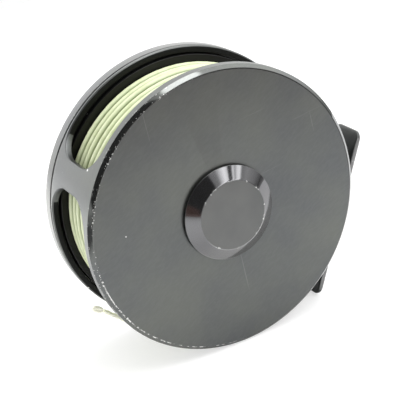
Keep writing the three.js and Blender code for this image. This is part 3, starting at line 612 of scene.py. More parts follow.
def coated_line(name, fresh, dirty_and_shade, brown_spot=None, painted_glow=0.0):
    """Soft coated fly line: pale, with a faint sheen, and painted shade where the strands meet.

    The crest attribute says how far a point of a strand faces outward, from -1 to 1.
    """
    look = Look(name)
    clouds = look.noise(0.3, 4.0)
    fine = look.noise(2.5, 3.0)
    colour = look.mix(look.ramp(clouds, 0.4, 0.8), fresh, dirty_and_shade)
    crest = look.add("ShaderNodeAttribute", attribute_name="crest").outputs["Fac"]
    # painted shade: the colour darkens away from each strand's outer crest, into the grooves between strands
    colour = look.mix(look.ramp(crest, 0.2, 0.96), tinted(dirty_and_shade, (0.25, 0.32, 0.2)), colour)
    if brown_spot is not None:
        offset = look.add("ShaderNodeVectorMath", {0: look.place, 1: brown_spot}, operation="DISTANCE")
        weld = look.ramp(offset.outputs["Value"], 0.5 * MM, 1.3 * MM, 0.5, 0.0)
        colour = look.mix(weld, colour, (0.55, 0.47, 0.25))
    # painted glow: emission in the line's own colour lightens it where it lies in shade; only the tag is
    # given any
    look.set("Emission Color", colour)
    look.set("Emission Strength", painted_glow)
    look.set("Coat Weight", 0.2)
    look.set("Coat Roughness", 0.3)
    return look.finish(colour, look.ramp(clouds, 0.3, 0.7, 0.4, 0.52), look.bump(fine, 0.008))


BACKING_MIDDLE = 30  # radius where the braid's pattern is as wide as it is long
BRAID_PITCH = 0.55
TWILL_PITCH = 1.4


def braided_cord():
    """Orange braided backing: two sets of strands crossing round the cord."""
    look = Look("backing")
    radius, depth, angle = look.axes()
    around = look.times(angle, BACKING_MIDDLE * MM)
    across = look.plus(radius, depth)
    strands = []
    for slant in (1.0, -1.0):
        run = look.plus(around, look.times(across, slant))
        strands.append(look.math("SINE", look.times(run, 2 * math.pi / (BRAID_PITCH * MM))))
    weave = look.most(*strands)
    fluff = look.noise(4.0, 3.0)
    colour = look.mix(look.ramp(weave, -0.6, 0.8), (0.30, 0.11, 0.02), (0.80, 0.36, 0.08))
    colour = look.mix(look.times(look.ramp(fluff, 0.5, 0.8), 0.4), colour, (0.92, 0.55, 0.24))
    look.set("Sheen Weight", 0.3)
    return look.finish(colour, 0.85, look.bump(weave, 0.06, look.bump(fluff, 0.03)))


def woven_carbon():
    """Carbon composite: a small twill weave under a dull resin."""
    look = Look("carbon")
    parts = look.parts(look.place)
    turn = 2 * math.pi / (TWILL_PITCH * MM)
    warp = look.math("SINE", look.times(look.plus(parts[0], parts[2]), turn))
    weft = look.math("SINE", look.times(look.minus(parts[0], parts[2]), turn))
    weave = look.times(warp, weft)
    fibres = look.noise(6.0, 2.0, look.stretched((1.0, 1.0, 0.1), (0.0, 0.785, 0.0)))
    share = look.plus(look.times(look.ramp(weave, -0.4, 0.4), 0.7), look.times(fibres, 0.3))
    tone = look.mix(share, (0.012, 0.012, 0.014), (0.06, 0.06, 0.065))
    rough = look.ramp(weave, -0.5, 0.5, 0.55, 0.35)
    return look.finish(tone, rough, look.bump(weave, 0.02, look.bump(fibres, 0.01)))


def soft_rubber():
    """Black rubber with a little dust on it."""
    look = Look("rubber")
    dust = look.noise(1.5, 4.0)
    tone = look.mix(look.ramp(dust, 0.5, 0.8), (0.012, 0.012, 0.013), (0.05, 0.048, 0.045))
    return look.finish(tone, look.ramp(dust, 0.3, 0.7, 0.5, 0.75), look.bump(dust, 0.02))


def turned_plastic():
    """The handle: black acetal with fine turning rings, smoother where hands have rubbed it."""
    look = Look("handle_plastic")
    radius, depth, _ = look.axes(middle("handle_barrel"))
    marks = look.rings(look.plus(look.times(radius, 1.3), depth), 6.0)
    rubbed = look.noise(0.12, 3.0)
    fine = look.noise(3.0, 3.0)
    colour = look.mix(look.ramp(rubbed, 0.35, 0.7), (0.016, 0.016, 0.017), (0.034, 0.034, 0.035))
    colour = look.mix(look.times(look.ramp(fine, 0.6, 0.75), 0.35), colour, (0.09, 0.09, 0.09))
    rough = look.plus(look.ramp(rubbed, 0.3, 0.7, 0.3, 0.42), look.times(marks, 0.15))
    return look.finish(colour, rough, look.bump(marks, 0.004, look.bump(fine, 0.004)))


DARK = (0.126, 0.129, 0.126)
MID_GREY = (0.17, 0.17, 0.17)
BEVEL = (1.2, 1.15)  # the plate's bevel, in from the rim and down from the face
# zones are (smallest radius, largest radius, lowest depth, highest depth)
BRIGHT_CUT = (RIM - BEVEL[0] - 0.15, RIM + 1, -0.1, BEVEL[1] - 0.03)
# painted shade: the zones inside the frame and the spool whose colour is darkened
CAGE_PAINTED_SHADE = [(0, 44.1, 2.6, 33.0), (44.0, 45.6, 29.2, 33.0)]
ARBOR_PAINTED_SHADE = [(0, 45.05, 0, 30.0)]
# edges are (radius, depth, how far they are rubbed bare)
PLATE_EDGES = [(RIM - BEVEL[0], 0.0, 1.0), (RIM, BEVEL[1], 0.6), (RIM, 30.5, 0.3)]
SPOOL_EDGES = [(RIM, 31.3, 0.3), (RIM, 34.9, 0.6), (RIM - 0.8, 35.7, 0.6), (41.2, 35.7, 0.5)]
CAP_EDGES = [(7.6, 35.2, 0.5), (8.4, 34.5, 0.5)]
LINE_COLOURS = ((0.70, 0.76, 0.49), (0.60, 0.66, 0.38))
TAG_COLOURS = ((0.98, 0.98, 0.82), (0.93, 0.93, 0.74))
TAG_WELD = tuple(middle("line_tag_end"))  # where the tip's loop is welded to its tail, and is a little brown

LOOKS = {
    "frame": anodised("frame_anodised", DARK, 0.38, PLATE_EDGES, 1.0, CAGE_PAINTED_SHADE, BRIGHT_CUT),
    "spool": anodised("spool_anodised", (0.175, 0.175, 0.172), 0.34, SPOOL_EDGES, 0.8, ARBOR_PAINTED_SHADE),
    "spool_cap": anodised("cap_anodised", MID_GREY, 0.34, CAP_EDGES, 0.8),
    "drag_cover": anodised("cover_anodised", MID_GREY, 0.4, wear=0.4),
    "anodised": anodised("plain_anodised", DARK, 0.4, wear=0.4),
    "foot_anodised": foot_finish(),
    "knob_polished": polished_knob(),
    "steel": turned_metal("steel", (0.60, 0.60, 0.61), 0.3),
    "bronze": turned_metal("bronze", (0.53, 0.35, 0.17), 0.42, mark=0.001),
    "brass": turned_metal("brass", (0.76, 0.57, 0.26), 0.3),
    "carbon": woven_carbon(),
    "rubber": soft_rubber(),
    "fly_line": coated_line("fly_line", *LINE_COLOURS),
    "backing": braided_cord(),
    "handle_plastic": turned_plastic(),
    "line_tag_end": coated_line("line_tag", *TAG_COLOURS, TAG_WELD, 0.12),
}


def stand_for(piece, node, look=None):
    """The piece takes a CAD node's place, its body and its look, found by the node's material slot when the
    node has no look of its own.
    """
    piece.name = node + "_fine"
    piece.data.materials.clear()
    piece.data.materials.append((look or LOOKS.get(node) or LOOKS[SLOT_OF[node]]).material)
    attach(piece, BODY_OF[node])
    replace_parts(piece, node)


# ---------------------------------------------------------------- frame

WINDOW_CORNER = 9.0
EDGE_BREAK = 0.35  # the small chamfer round windows and ports
WALL_INNER = 43.9
PAD = (10.5, 6.0)  # half the length and half the width of the block that the foot is screwed to
PAD_START = 0.3  # how far outside the wall's inner face the block begins
PAD_GAP = 0.05  # between the block and the foot
FOOT_SCREW_HOLE = 1.5
DRAG_PIN_HOLE = 1.3
PLATE_THICKNESS = 3
PAWL_HOLE = (0.9, 2.2, 4)  # radius, and the depths it runs between


def window_limits():
    """The angles where the cage's windows end and the two depths they run between."""
    spots = [polar(vert.co) for vert in NODES["frame"].data.vertices]
    rim = [(depth, angle) for radius, depth, angle in spots if radius > RIM - 0.1]
    ends = sorted({round(angle, 1) for depth, angle in rim if 13 < depth < 21 and 20 < angle < 340})
    middle_angle = (ends[0] + ends[1]) / 2
    edges = [depth for depth, angle in rim if abs(angle - middle_angle) < 20 and 2 < depth < 30]
    return ends, min(edges), max(edges)


def window_cutter(start, end, low, high):
    """A window with rounded ends, swept round the axis. It widens near its outer edge, which is broken."""
    levels = [(WALL_INNER - 3, 0.0), (RIM - 0.5, 0.0), (RIM - 0.18, 0.12), (RIM, EDGE_BREAK), (RIM + 1, 1.5)]
    corner_steps, middle_steps = 12, 60
    corner = math.degrees(WINDOW_CORNER / RIM)
    turns = [90 * step / corner_steps for step in range(corner_steps + 1)]
    stations = [(start + corner * (1 - math.cos(math.radians(t))), t, -1) for t in turns]
    first, last = start + corner, end - corner
    span = last - first
    stations += [(first + span * step / middle_steps, 90, 0) for step in range(1, middle_steps)]
    stations += [(end - corner * (1 - math.cos(math.radians(t))), t, 1) for t in reversed(turns)]
    bm = bmesh.new()
    rings = []
    for angle, turn, side in stations:
        lean, rise = math.cos(math.radians(turn)), math.sin(math.radians(turn))
        inset = WINDOW_CORNER * (1 - rise)
        lower, upper = [], []
        for radius, out in levels:
            at = angle + side * lean * math.degrees(out / RIM)
            lower.append(bm.verts.new(on_circle(radius, at, low + inset - out * rise)))
            upper.append(bm.verts.new(on_circle(radius, at, high - inset + out * rise)))
        rings.append(lower + upper[::-1])
    bridge(bm, rings)
    for ring in (rings[0], rings[-1]):
        for level in range(len(levels) - 1):
            bm.faces.new([ring[level], ring[level + 1], ring[-2 - level], ring[-1 - level]])
    return piece_from("cutter", bm, SPOOL_AXIS)


def block(low, high, bevel, place=None):
    """A box between two corners in the row frame in mm, with rounded edges."""
    bm = bmesh.new()
    bmesh.ops.create_cube(bm, size=1)
    low, high = Vector(low), Vector(high)
    spread = Matrix.Diagonal((*(high - low), 1))
    bmesh.ops.transform(bm, matrix=Matrix.Translation((low + high) / 2) @ spread, verts=bm.verts)
    bmesh.ops.bevel(bm, geom=bm.edges, offset=bevel, segments=3, profile=0.5, affect="EDGES")
    return piece_from("block", bm, place or Matrix.Scale(MM, 4))


FOOT_SCREWS = ("foot_screw_upper", "foot_screw_lower")


def across_foot(node):
    """Where a piece turned about the X axis through a foot screw stands: its own Y axis points along +X."""
    spot = middle(node)
    turn = Matrix.Rotation(math.radians(-90), 4, "Z")
    return Matrix.Translation((0, spot.y, spot.z)) @ turn @ Matrix.Scale(MM, 4)


def make_frame():
    points, closed = outline_of("frame", FRAME_CUT, AXIS)
    body = turned("frame_body", points, closed, SPOOL_AXIS, 0.16)
    foot_y, seat = middle("reel_foot").y / MM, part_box("reel_foot")[0].x / MM - PAD_GAP
    pad_low = (AXIS.x / MM + WALL_INNER + PAD_START, foot_y - PAD[1], -PAD[0])
    combine(body, "UNION", [block(pad_low, (seat, foot_y + PAD[1], PAD[0]), 0.3)])
    ends, low, high = window_limits()
    cutters = [window_cutter(ends[0], ends[1], low, high), window_cutter(ends[2], ends[3], low, high)]
    for node in FOOT_SCREWS:
        cutters.append(rod(FOOT_SCREW_HOLE, AXIS.x / MM + WALL_INNER - 1, 0, across_foot(node)))
    for pin in ("drag_pin_1", "drag_pin_2", "drag_pin_3"):
        cutters.append(rod(DRAG_PIN_HOLE, 0, PLATE_THICKNESS, along_y(middle(pin)), 0.15))
    cutters.append(rod(*PAWL_HOLE, along_y(middle("pawl_post"))))
    combine(body, "DIFFERENCE", cutters)
    stand_for(body, "frame")


# ---------------------------------------------------------------- reel foot

FOOT_EDGE = 1.5  # thickness along the long edges
FOOT_CROWN = 2.8
FOOT_TIP = 1.0
FOOT_CORNER = 3.0
SADDLE = (5.5, 10)  # half the width and half the length of the raised pad under the foot
# the outline of the countersunk hole that each foot screw sits in, as (radius, height over the seat)
COUNTERSINK = [(0, -6), (FOOT_SCREW_HOLE, -6), (FOOT_SCREW_HOLE, -1.35), (2.85, 0.0), (3.35, 0.5), (0, 0.5)]


def foot_loop(inset):
    """Points round the foot's plan, moved in by inset, as (across, along)."""
    half_width, half_length = FOOT_SIZE.y / 2 - inset, FOOT_SIZE.z / 2 - inset
    corner = max(min(FOOT_CORNER - inset, half_width), 0.0)
    arc_steps, side_steps, end_steps = 6, 28, 4
    points = []
    for quarter in range(4):
        ahead = 1 if quarter in (0, 1) else -1
        side = 1 if quarter in (0, 3) else -1
        centre = Vector((side * (half_width - corner), ahead * (half_length - corner)))
        arc = []
        for step in range(arc_steps + 1):
            turn = math.radians(90 * (quarter + step / arc_steps))
            arc.append(centre + corner * Vector((math.cos(turn), math.sin(turn))))
        start = arc.pop()
        over_tip = quarter in (0, 2)
        finish = Vector((-start.x, start.y)) if over_tip else Vector((start.x, -start.y))
        steps = end_steps if over_tip else side_steps
        points += arc + [start.lerp(finish, step / steps) for step in range(steps)]
    return points


def foot_thickness(across, along):
    """Crowned across the foot and thinning towards its tips."""
    half_width, half_length = FOOT_SIZE.y / 2, FOOT_SIZE.z / 2
    crowned = FOOT_EDGE + (FOOT_CROWN - FOOT_EDGE) * (1 - (across / half_width) ** 2)
    share = min(abs(along) / half_length, 1.0)
    # a curve from the tip's thickness up to a little over the crown, where it runs nearly level
    t = (math.sqrt(0.81 + 0.4 * (1 - share)) - 0.9) / 0.2
    tapered = FOOT_TIP * (1 - t) ** 2 + 2 * FOOT_CROWN * t * (1 - t) + (FOOT_CROWN + 0.4) * t * t
    return min(crowned, tapered)


def make_foot():
    half_width = FOOT_SIZE.y / 2
    # each ring of the skin is the foot's plan moved in by an inset, and sunk from its face
    seat_side = [(half_width, 0.0), (half_width / 2, 0.0), (0.3, 0.0), (0.09, 0.09), (0.0, 0.3)]
    back_side = [(0.0, 0.35), (0.1, 0.1), (0.35, 0.0)]
    back_side += [(half_width * share, 0.0) for share in (0.15, 0.3, 0.45, 0.6, 0.8, 1.0)]
    bm = bmesh.new()
    rings = []
    for inset, sink in seat_side:
        rings.append([bm.verts.new((-sink, a, b)) for a, b in foot_loop(inset)])
    for inset, sink in back_side:
        rings.append([bm.verts.new((sink - foot_thickness(a, b), a, b)) for a, b in foot_loop(inset)])
    bridge(bm, rings)
    bmesh.ops.remove_doubles(bm, verts=bm.verts, dist=1e-4)
    place = Matrix.Translation((0, middle("reel_foot").y, 0)) @ Matrix.Scale(MM, 4)
    foot = piece_from("foot", bm, place)
    combine(foot, "UNION", [block((-FOOT_SIZE.x, -SADDLE[0], -SADDLE[1]), (-1, *SADDLE), 0.25, place)])
    holes = [turned("cutter", COUNTERSINK, False, across_foot(node)) for node in FOOT_SCREWS]
    combine(foot, "DIFFERENCE", holes)
    stand_for(foot, "reel_foot")


# ---------------------------------------------------------------- spool

INNER_PORTS, INNER_PORT_CIRCLE, INNER_PORT = 6, 17.3, 3.4
OUTER_PORTS, OUTER_PORT = 12, 4.4  # two of them are left out for the handle and the counterweight
PORT_REACH = 2.4  # how far an inner port is cut down from the web
FLANGE_FROM, WEB = 28.1, 30.2
BOSS, BOSS_TOP, POST_HOLE = 4.6, 31.4, 1.9
SEAT, SEAT_TOP, WEIGHT_HOLE = 6.6, 30.25, 1.5
BURIED = 0.5  # how far a boss reaches into the web that it is joined to


def make_spool():
    points, closed = outline_of("spool", SPOOL_CUT, AXIS)
    body = turned("spool_body", points, closed, SPOOL_AXIS, 0.18)
    places = (shifted(HANDLE_CIRCLE, 0), shifted(HANDLE_CIRCLE, 180))
    for place, radius, top, soft in ((places[0], BOSS, BOSS_TOP, 0.25), (places[1], SEAT, SEAT_TOP, 0.04)):
        side = [(0, WEB - BURIED), (radius, WEB - BURIED), (radius, top), (0, top)]
        combine(body, "UNION", [turned("boss", side, False, place, soft)])
    cutters = [rod(POST_HOLE, FLANGE_FROM - 1, BOSS_TOP + 1, places[0])]
    cutters.append(rod(WEIGHT_HOLE, FLANGE_FROM - 1, WEB + 1, places[1]))
    for index in range(OUTER_PORTS):
        if index % (OUTER_PORTS // 2):
            place = shifted(HANDLE_CIRCLE, 360 / OUTER_PORTS * index)
            cutters.append(rod(OUTER_PORT, FLANGE_FROM, WEB, place, EDGE_BREAK))
    for index in range(INNER_PORTS):
        place = shifted(INNER_PORT_CIRCLE, 360 / INNER_PORTS * index)
        cutters.append(rod(INNER_PORT, WEB - PORT_REACH, WEB, place, EDGE_BREAK))
    combine(body, "DIFFERENCE", cutters)
    stand_for(body, "spool")


def closed_over(points):
    """An outline with what is sunk into its far end filled in, so that it can be cut again in detail."""
    top = max(point.y for point in points)
    if points[0].y > points[-1].y:
        points = points[::-1]
    reached = next(index for index, point in enumerate(points) if point.y > top - 1e-3)
    return points[:reached + 1] + [Vector((0.0, top))]


CAP_CUT = 67.5  # an angle between two of the cap's flutes
CAP_FLUTES, CAP_FLUTE, CAP_FLUTE_OUT = 8, 1.3, 0.65  # number, radius, and how far out their centres lie
CAP_NECK = 1.1  # the flutes start this far over the end of the cap's neck
CAP_SLOT = (0.65, 0.5, 0.75)  # half its length as a share of the cap's radius, half its width, its depth
SOCKET_DEPTH = 0.9


def make_cap():
    points, _ = outline_of("spool_cap", CAP_CUT, AXIS)
    points = closed_over(points)
    body = turned("cap", points, False, SPOOL_AXIS, 0.15)
    radius, top = max(p.x for p in points), max(p.y for p in points)
    bottom = reach("spool_cap")[1] + CAP_NECK
    cutters = []
    for index in range(CAP_FLUTES):
        place = shifted(radius + CAP_FLUTE_OUT, 360 / CAP_FLUTES * index)
        cutters.append(rod(CAP_FLUTE, bottom - 1, top + 1, place))
    length, width, depth = CAP_SLOT
    slot = block((-length * radius, top - depth, -width), (length * radius, top + 1, width), 0.08, SPOOL_AXIS)
    combine(body, "DIFFERENCE", cutters + [slot])
    stand_for(body, "spool_cap")


def make_screw(node, place, socket):
    """A screw with a hexagon socket, turned about the Y axis of place."""
    points, _ = outline_of(node, turn_to_y=place)
    points = closed_over(points)
    top = points[-1].y
    screw = turned("screw", points, False, place, 0.12)
    bm = bmesh.new()
    rings = []
    for radius, height in ((socket, top - SOCKET_DEPTH), (socket, top - 0.12), (socket + 0.3, top + 0.18)):
        rings.append([bm.verts.new(on_circle(radius, 60 * side, height)) for side in range(6)])
    bridge(bm, rings)
    bm.faces.new(rings[0])
    bm.faces.new(rings[-1])
    combine(screw, "DIFFERENCE", [piece_from("socket", bm, place)])
    look = turned_metal(node + "_steel", (0.55, 0.55, 0.56), 0.28, centre=middle(node))
    stand_for(screw, node, look)


# ---------------------------------------------------------------- pieces along a path

def tube(bm, path, radii, sides, outward=None):
    """A closed round tube along a path of points. Its vertices hold how far they face outward, as crest."""
    crest = bm.verts.layers.float.get("crest") or bm.verts.layers.float.new("crest")
    rings = []
    tangent = (path[1] - path[0]).normalized()
    side_way = tangent.orthogonal().normalized()
    for index, point in enumerate(path):
        ahead = path[min(index + 1, len(path) - 1)] - path[max(index - 1, 0)]
        tangent = ahead.normalized()
        side_way = (side_way - tangent * side_way.dot(tangent)).normalized()
        other_way = tangent.cross(side_way)
        ring = []
        for side in range(sides):
            turn = 2 * math.pi * side / sides
            spoke = side_way * math.cos(turn) + other_way * math.sin(turn)
            corner = bm.verts.new(point + spoke * radii[index])
            corner[crest] = spoke.dot(outward(point)) if outward else 1.0
            ring.append(corner)
        rings.append(ring)
    bridge(bm, rings)
    bm.faces.new(rings[0])
    bm.faces.new(rings[-1])


def off_axis(point):
    """The direction away from the spool's axis."""
    return Vector((point.x, 0, point.z)).normalized()


STRAND = 1.38  # radius of a strand of line on the spool
STRAND_PITCH = 2.06 * STRAND
STRAND_SIDES = (14, 8, 8)  # of each layer's strands, from the outermost layer in
TURN_STEPS = 72
SWAY, DIP = 0.15, 0.28  # how far the strands wander along and sink towards the axis
CYCLE = 6.28  # about one wave, in radians


def random_waves(chance, slowest, fastest, count):
    """Pairs of (waves per turn of line, phase), where the later ones are faster."""
    pairs = []
    for index in range(count):
        rate = chance.uniform(slowest, fastest) * (index + 1)
        pairs.append((rate, chance.uniform(0, CYCLE)))
    return pairs


def wave(turn, rate, phase):
    return math.sin(rate * turn * CYCLE + phase)


def wound_layer(bm, layer, chance):
    """One layer of wound line: it crosses the spool turn by turn, never quite evenly."""
    outer, start, end = reach("fly_line")
    radius = outer - STRAND - layer * 2 * STRAND
    width = end - start - 2 * STRAND
    turns = round(width / STRAND_PITCH) + 1
    sways = random_waves(chance, 0.31, 0.47, 4)
    dips = random_waves(chance, 0.23, 0.71, 3)
    path = []
    for step in range(turns * TURN_STEPS + 1):
        turn = step / TURN_STEPS
        share = min(max((turn - 0.5) / (turns - 1), 0.0), 1.0)
        if layer % 2:
            share = 1 - share
        sway = SWAY * sum(wave(turn, *pair) for pair in sways)
        dip = DIP * (0.8 + 0.5 * wave(turn, *dips[0]) + 0.3 * wave(turn, *dips[1]))
        settled = min(1.0, 6 * share, 6 * (1 - share))
        depth = start + STRAND + width * share + sway * settled
        path.append(on_circle(radius - dip * settled, 360 * turn + 90 * layer, depth))
    last = len(path) - 1
    radii = [STRAND * min(1.0, 0.3 + 0.25 * min(step, last - step)) for step in range(len(path))]
    tube(bm, path, radii, STRAND_SIDES[layer], off_axis)


def make_line():
    chance = random.Random(7)
    bm = bmesh.new()
    for layer in range(len(STRAND_SIDES)):
        wound_layer(bm, layer, chance)
    stand_for(piece_from("line", bm, SPOOL_AXIS), "fly_line")


BACKING_INNER, CORD = 25.3, 0.45  # radius where the backing starts, and of its cord


def make_backing():
    """The backing is cord wound close under the line: its sides and outer face are rows of half rounds."""
    outer, start, end = reach("backing")
    rows = int((outer - BACKING_INNER) / (2 * CORD))
    columns = int((end - start - 2 * CORD) / (2 * CORD))
    pitch_out, pitch_on = (outer - BACKING_INNER) / rows, (end - start) / columns
    heights = [BACKING_INNER + pitch_out * (row + 0.5) for row in range(rows)]
    rounds = [(height, start + CORD, 210) for height in heights]
    rounds += [(outer - CORD, start + pitch_on * (column + 0.5), -60) for column in range(1, columns - 1)]
    rounds += [(height, end - CORD, 30) for height in reversed(heights)]
    points = []
    for radius, depth, first_angle in rounds:
        for step in range(5):
            turn = math.radians(first_angle + 30 * step)
            points.append((radius + CORD * math.cos(turn), depth + CORD * math.sin(turn)))
    stand_for(turned("backing", points, True, SPOOL_AXIS), "backing")


def curve_through(controls, steps):
    """A smooth path through the controls, a Catmull-Rom curve."""
    padded = [controls[0] * 2 - controls[1]] + controls + [controls[-1] * 2 - controls[-2]]
    path = []
    for a, b, c, d in zip(padded, padded[1:], padded[2:], padded[3:]):
        for step in range(steps):
            t = step / steps
            bend = (a * 2 - b * 5 + c * 4 - d) * t * t + (b * 3 - a - c * 3 + d) * t ** 3
            path.append((b * 2 + (c - a) * t + bend) / 2)
    path.append(controls[-1])
    return path


TAG = 0.66  # radius of the line near its tip
# the tail's way out of the window, as (radius, angle, how far deeper than the loop)
TAG_PATH = [(44.7, 268, 1.2), (44.7, 256, 0.8), (45.2, 246, 0.3), (46.6, 237, 0.0), (47.9, 231.6, 0.0)]
TAG_LOOP = (49.0, 229.4)  # radius and angle of the middle of the welded loop
TAG_LOOP_HALF = (1.4, 0.6)  # half its length and half its width
TAG_LOOP_STEPS = 40
TAG_SIDES = (14, 12)  # of the tail and of the loop
TAG_LIFT = 0.6  # how far the loop lies nearer the plate than the middle of the CAD's line end


def make_tag():
    """The tip of the line: a tail out of the lower window that closes in a small welded loop."""
    depth = (middle("line_tag_end").y - FACE) / MM - TAG_LIFT
    tail = curve_through([on_circle(radius, angle, depth + lift) for radius, angle, lift in TAG_PATH], 12)
    bm = bmesh.new()
    uneven = [TAG * min(1, 0.4 + 0.3 * step) * (1 + 0.12 * math.sin(0.9 * step)) for step in range(len(tail))]
    tube(bm, tail, uneven, TAG_SIDES[0])
    centre = on_circle(*TAG_LOOP, depth)
    onward = (centre - tail[-1]).normalized()
    sideways = Vector((0, 1, 0)).cross(onward).normalized()
    loop = []
    for step in range(TAG_LOOP_STEPS + 1):
        turn = math.radians(180 + 360 * step / TAG_LOOP_STEPS)
        width = TAG_LOOP_HALF[1] * (0.85 + 0.15 * math.cos(turn))
        loop.append(centre + onward * TAG_LOOP_HALF[0] * math.cos(turn) + sideways * width * math.sin(turn))
    tube(bm, loop, [TAG * 0.9] * len(loop), TAG_SIDES[1])
    stand_for(piece_from("tag", bm, SPOOL_AXIS), "line_tag_end")


# ---------------------------------------------------------------- small parts

RING_STEPS = 20
BALLS, BALL, BALL_CIRCLE = 7, 0.7, 6.0  # number, radius, and radius of the circle they run on
BALL_CAGE = (0.25, 0.9)  # half the cage's wall and half its length
ROLLERS, ROLLER, ROLLER_CIRCLE = 8, 0.8, 7.05
ROLLER_CAGE = (0.4, 13.7, 19.2)  # half the cage's wall, and the depths it runs between
ROLLER_INSET = 0.4  # how much shorter a roller is than its cage, at either end


def make_plain_turned(node):
    points, closed = outline_of(node)
    softness = 0.12 if size(node).x > 4 else 0.08
    stand_for(turned(node, points, closed, along_y(middle(node)), softness), node)


def make_round_ring(node):
    """A ring of round section, such as a seal."""
    outer, start, end = reach(node)
    section = (end - start) / 2
    spokes = [on_circle(section, 360 * step / RING_STEPS) for step in range(RING_STEPS)]
    points = [(outer - section + spoke.x, start + section + spoke.z) for spoke in spokes]
    stand_for(turned(node, points, True, SPOOL_AXIS), node)


def make_refined(node):
    """A small cut part: the CAD's own shape with its flat faces made whole and its edges rounded."""
    bm = ready_mesh(node)
    bmesh.ops.dissolve_limit(bm, angle_limit=math.radians(0.6), verts=bm.verts, edges=bm.edges)
    piece = piece_from(node, bm, Matrix.Identity(4))
    step = piece.modifiers.new("edges", "BEVEL")
    step.width = 0.1 * MM
    step.segments = 2
    step.limit_method = "ANGLE"
    step.angle_limit = SHARP
    settle(piece)
    stand_for(piece, node)


def make_wire(node):
    """A bent wire: the CAD's own sweep, smoothed."""
    bm = ready_mesh(node)
    limits = {"angle_face_threshold": math.radians(60), "angle_shape_threshold": math.radians(60)}
    bmesh.ops.join_triangles(bm, faces=bm.faces, **limits)
    piece = piece_from(node, bm, Matrix.Identity(4))
    step = piece.modifiers.new("smooth", "SUBSURF")
    step.levels = step.render_levels = 2
    settle(piece)
    stand_for(piece, node)


def make_caged(node, circle, wall, low, high, rolling):
    """A ring between two depths, joined to the rolling pieces that it carries."""
    side = [(circle - wall, low), (circle + wall, low), (circle + wall, high), (circle - wall, high)]
    cage = turned(node, side, True, SPOOL_AXIS, 0.08)
    combine(cage, "UNION", rolling)
    stand_for(cage, node)


def make_ball_cage(node):
    depth = (middle(node).y - FACE) / MM
    wall, half = BALL_CAGE
    balls = []
    for index in range(BALLS):
        bm = bmesh.new()
        centre = Matrix.Translation(on_circle(BALL_CIRCLE, 360 * index / BALLS, depth))
        bmesh.ops.create_icosphere(bm, subdivisions=3, radius=BALL, matrix=centre)
        balls.append(piece_from("ball", bm, SPOOL_AXIS))
    make_caged(node, BALL_CIRCLE, wall, depth - half, depth + half, balls)


def make_clutch_rollers():
    wall, low, high = ROLLER_CAGE
    rollers = []
    for index in range(ROLLERS):
        place = shifted(ROLLER_CIRCLE, 360 * index / ROLLERS)
        rollers.append(rod(ROLLER, low + ROLLER_INSET, high - ROLLER_INSET, place))
    make_caged("clutch_rollers", ROLLER_CIRCLE, wall, low, high, rollers)


make_frame()
make_foot()
make_spool()
make_cap()
make_line()
make_backing()
make_tag()
for foot_screw in FOOT_SCREWS:
    make_screw(foot_screw, across_foot(foot_screw), 0.78)
for pan_screw, hexagon in (("counterweight_screw", 1.0), ("handle_screw", 1.2)):
    make_screw(pan_screw, along_y(middle(pan_screw)), hexagon)
for seal in ("drag_seal", "cap_o_ring"):
    make_round_ring(seal)
for cut_part in ("cover_snap_ring", "bearing_snap_ring", "click_pawl", "click_gear"):
    make_refined(cut_part)
make_wire("click_spring")
for bearing in ("rear_ball_cage", "front_ball_cage"):
    make_ball_cage(bearing)
make_clutch_rollers()
already = {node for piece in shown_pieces() for node in piece.get("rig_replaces", [])}
for plain_node in sorted(set(NODES) - already):
    make_plain_turned(plain_node)


# ---------------------------------------------------------------- stage, light and camera

CAMERA_OFFSET = Vector((-199.7, -316.1, 84.3)) * MM  # from the middle of the plate's face
CAMERA_AIM = Vector((0.5013, 0.8379, -0.2159))
CAMERA_UP = Vector((-0.0811, 0.2939, 0.9524))
LENS, FILM = 112.4, 36
FLOOR_SIZE = 1.0
FLOOR_SEEN, FLOOR_GLOW = (0.44, 0.44, 0.44), 0.6  # to the camera, so that only the deepest shadow shows
# How the metal sees the floor: painted light and shade in its colour and glow, seen only in reflections. Each
# pair is where a change starts and ends, in metres in the row frame.
GLOW_BEHIND, GLOW_STRENGTH = (0.0, 0.15), 1.4  # along Y, behind the reel, where the floor has a painted glow
FALL_OFF = (-0.1, -0.3)  # along Y, towards the camera, where the floor is painted darker
BROWN_FRONT = (-0.25, -0.33)  # along Y, where the table's front edge would be; beyond it the floor is painted brown, a painted reflection of the room
DARK_LEFT, DARK_LEAN = (-0.12, -0.18), 0.6  # along X less this share of Y; to the left of it the floor is painted dark
DARK_FROM = (0.0, -0.02)  # along Y: the left is dark in front of this only
OVERHEAD_HEIGHT, OVERHEAD_SHIFT, OVERHEAD_SIZE, OVERHEAD_POWER = 0.9, (0.1, 0.1, 0), 0.6, 1.5
REEL_MIDDLE = 18  # depth of the middle of the reel, which the light points at


def table_plane():
    """The plane that the reel lies on with its rim and the foot's lower tip, as its normal and a point."""
    tip = Vector((-AXIS.x / MM, 0, -FOOT_SIZE.z / 2))
    tilt = math.degrees(math.atan2(tip.z, tip.x)) - math.degrees(math.acos(RIM / tip.length))
    away = on_circle(1, tilt)
    return -away, SPOOL_AXIS @ (away * RIM)


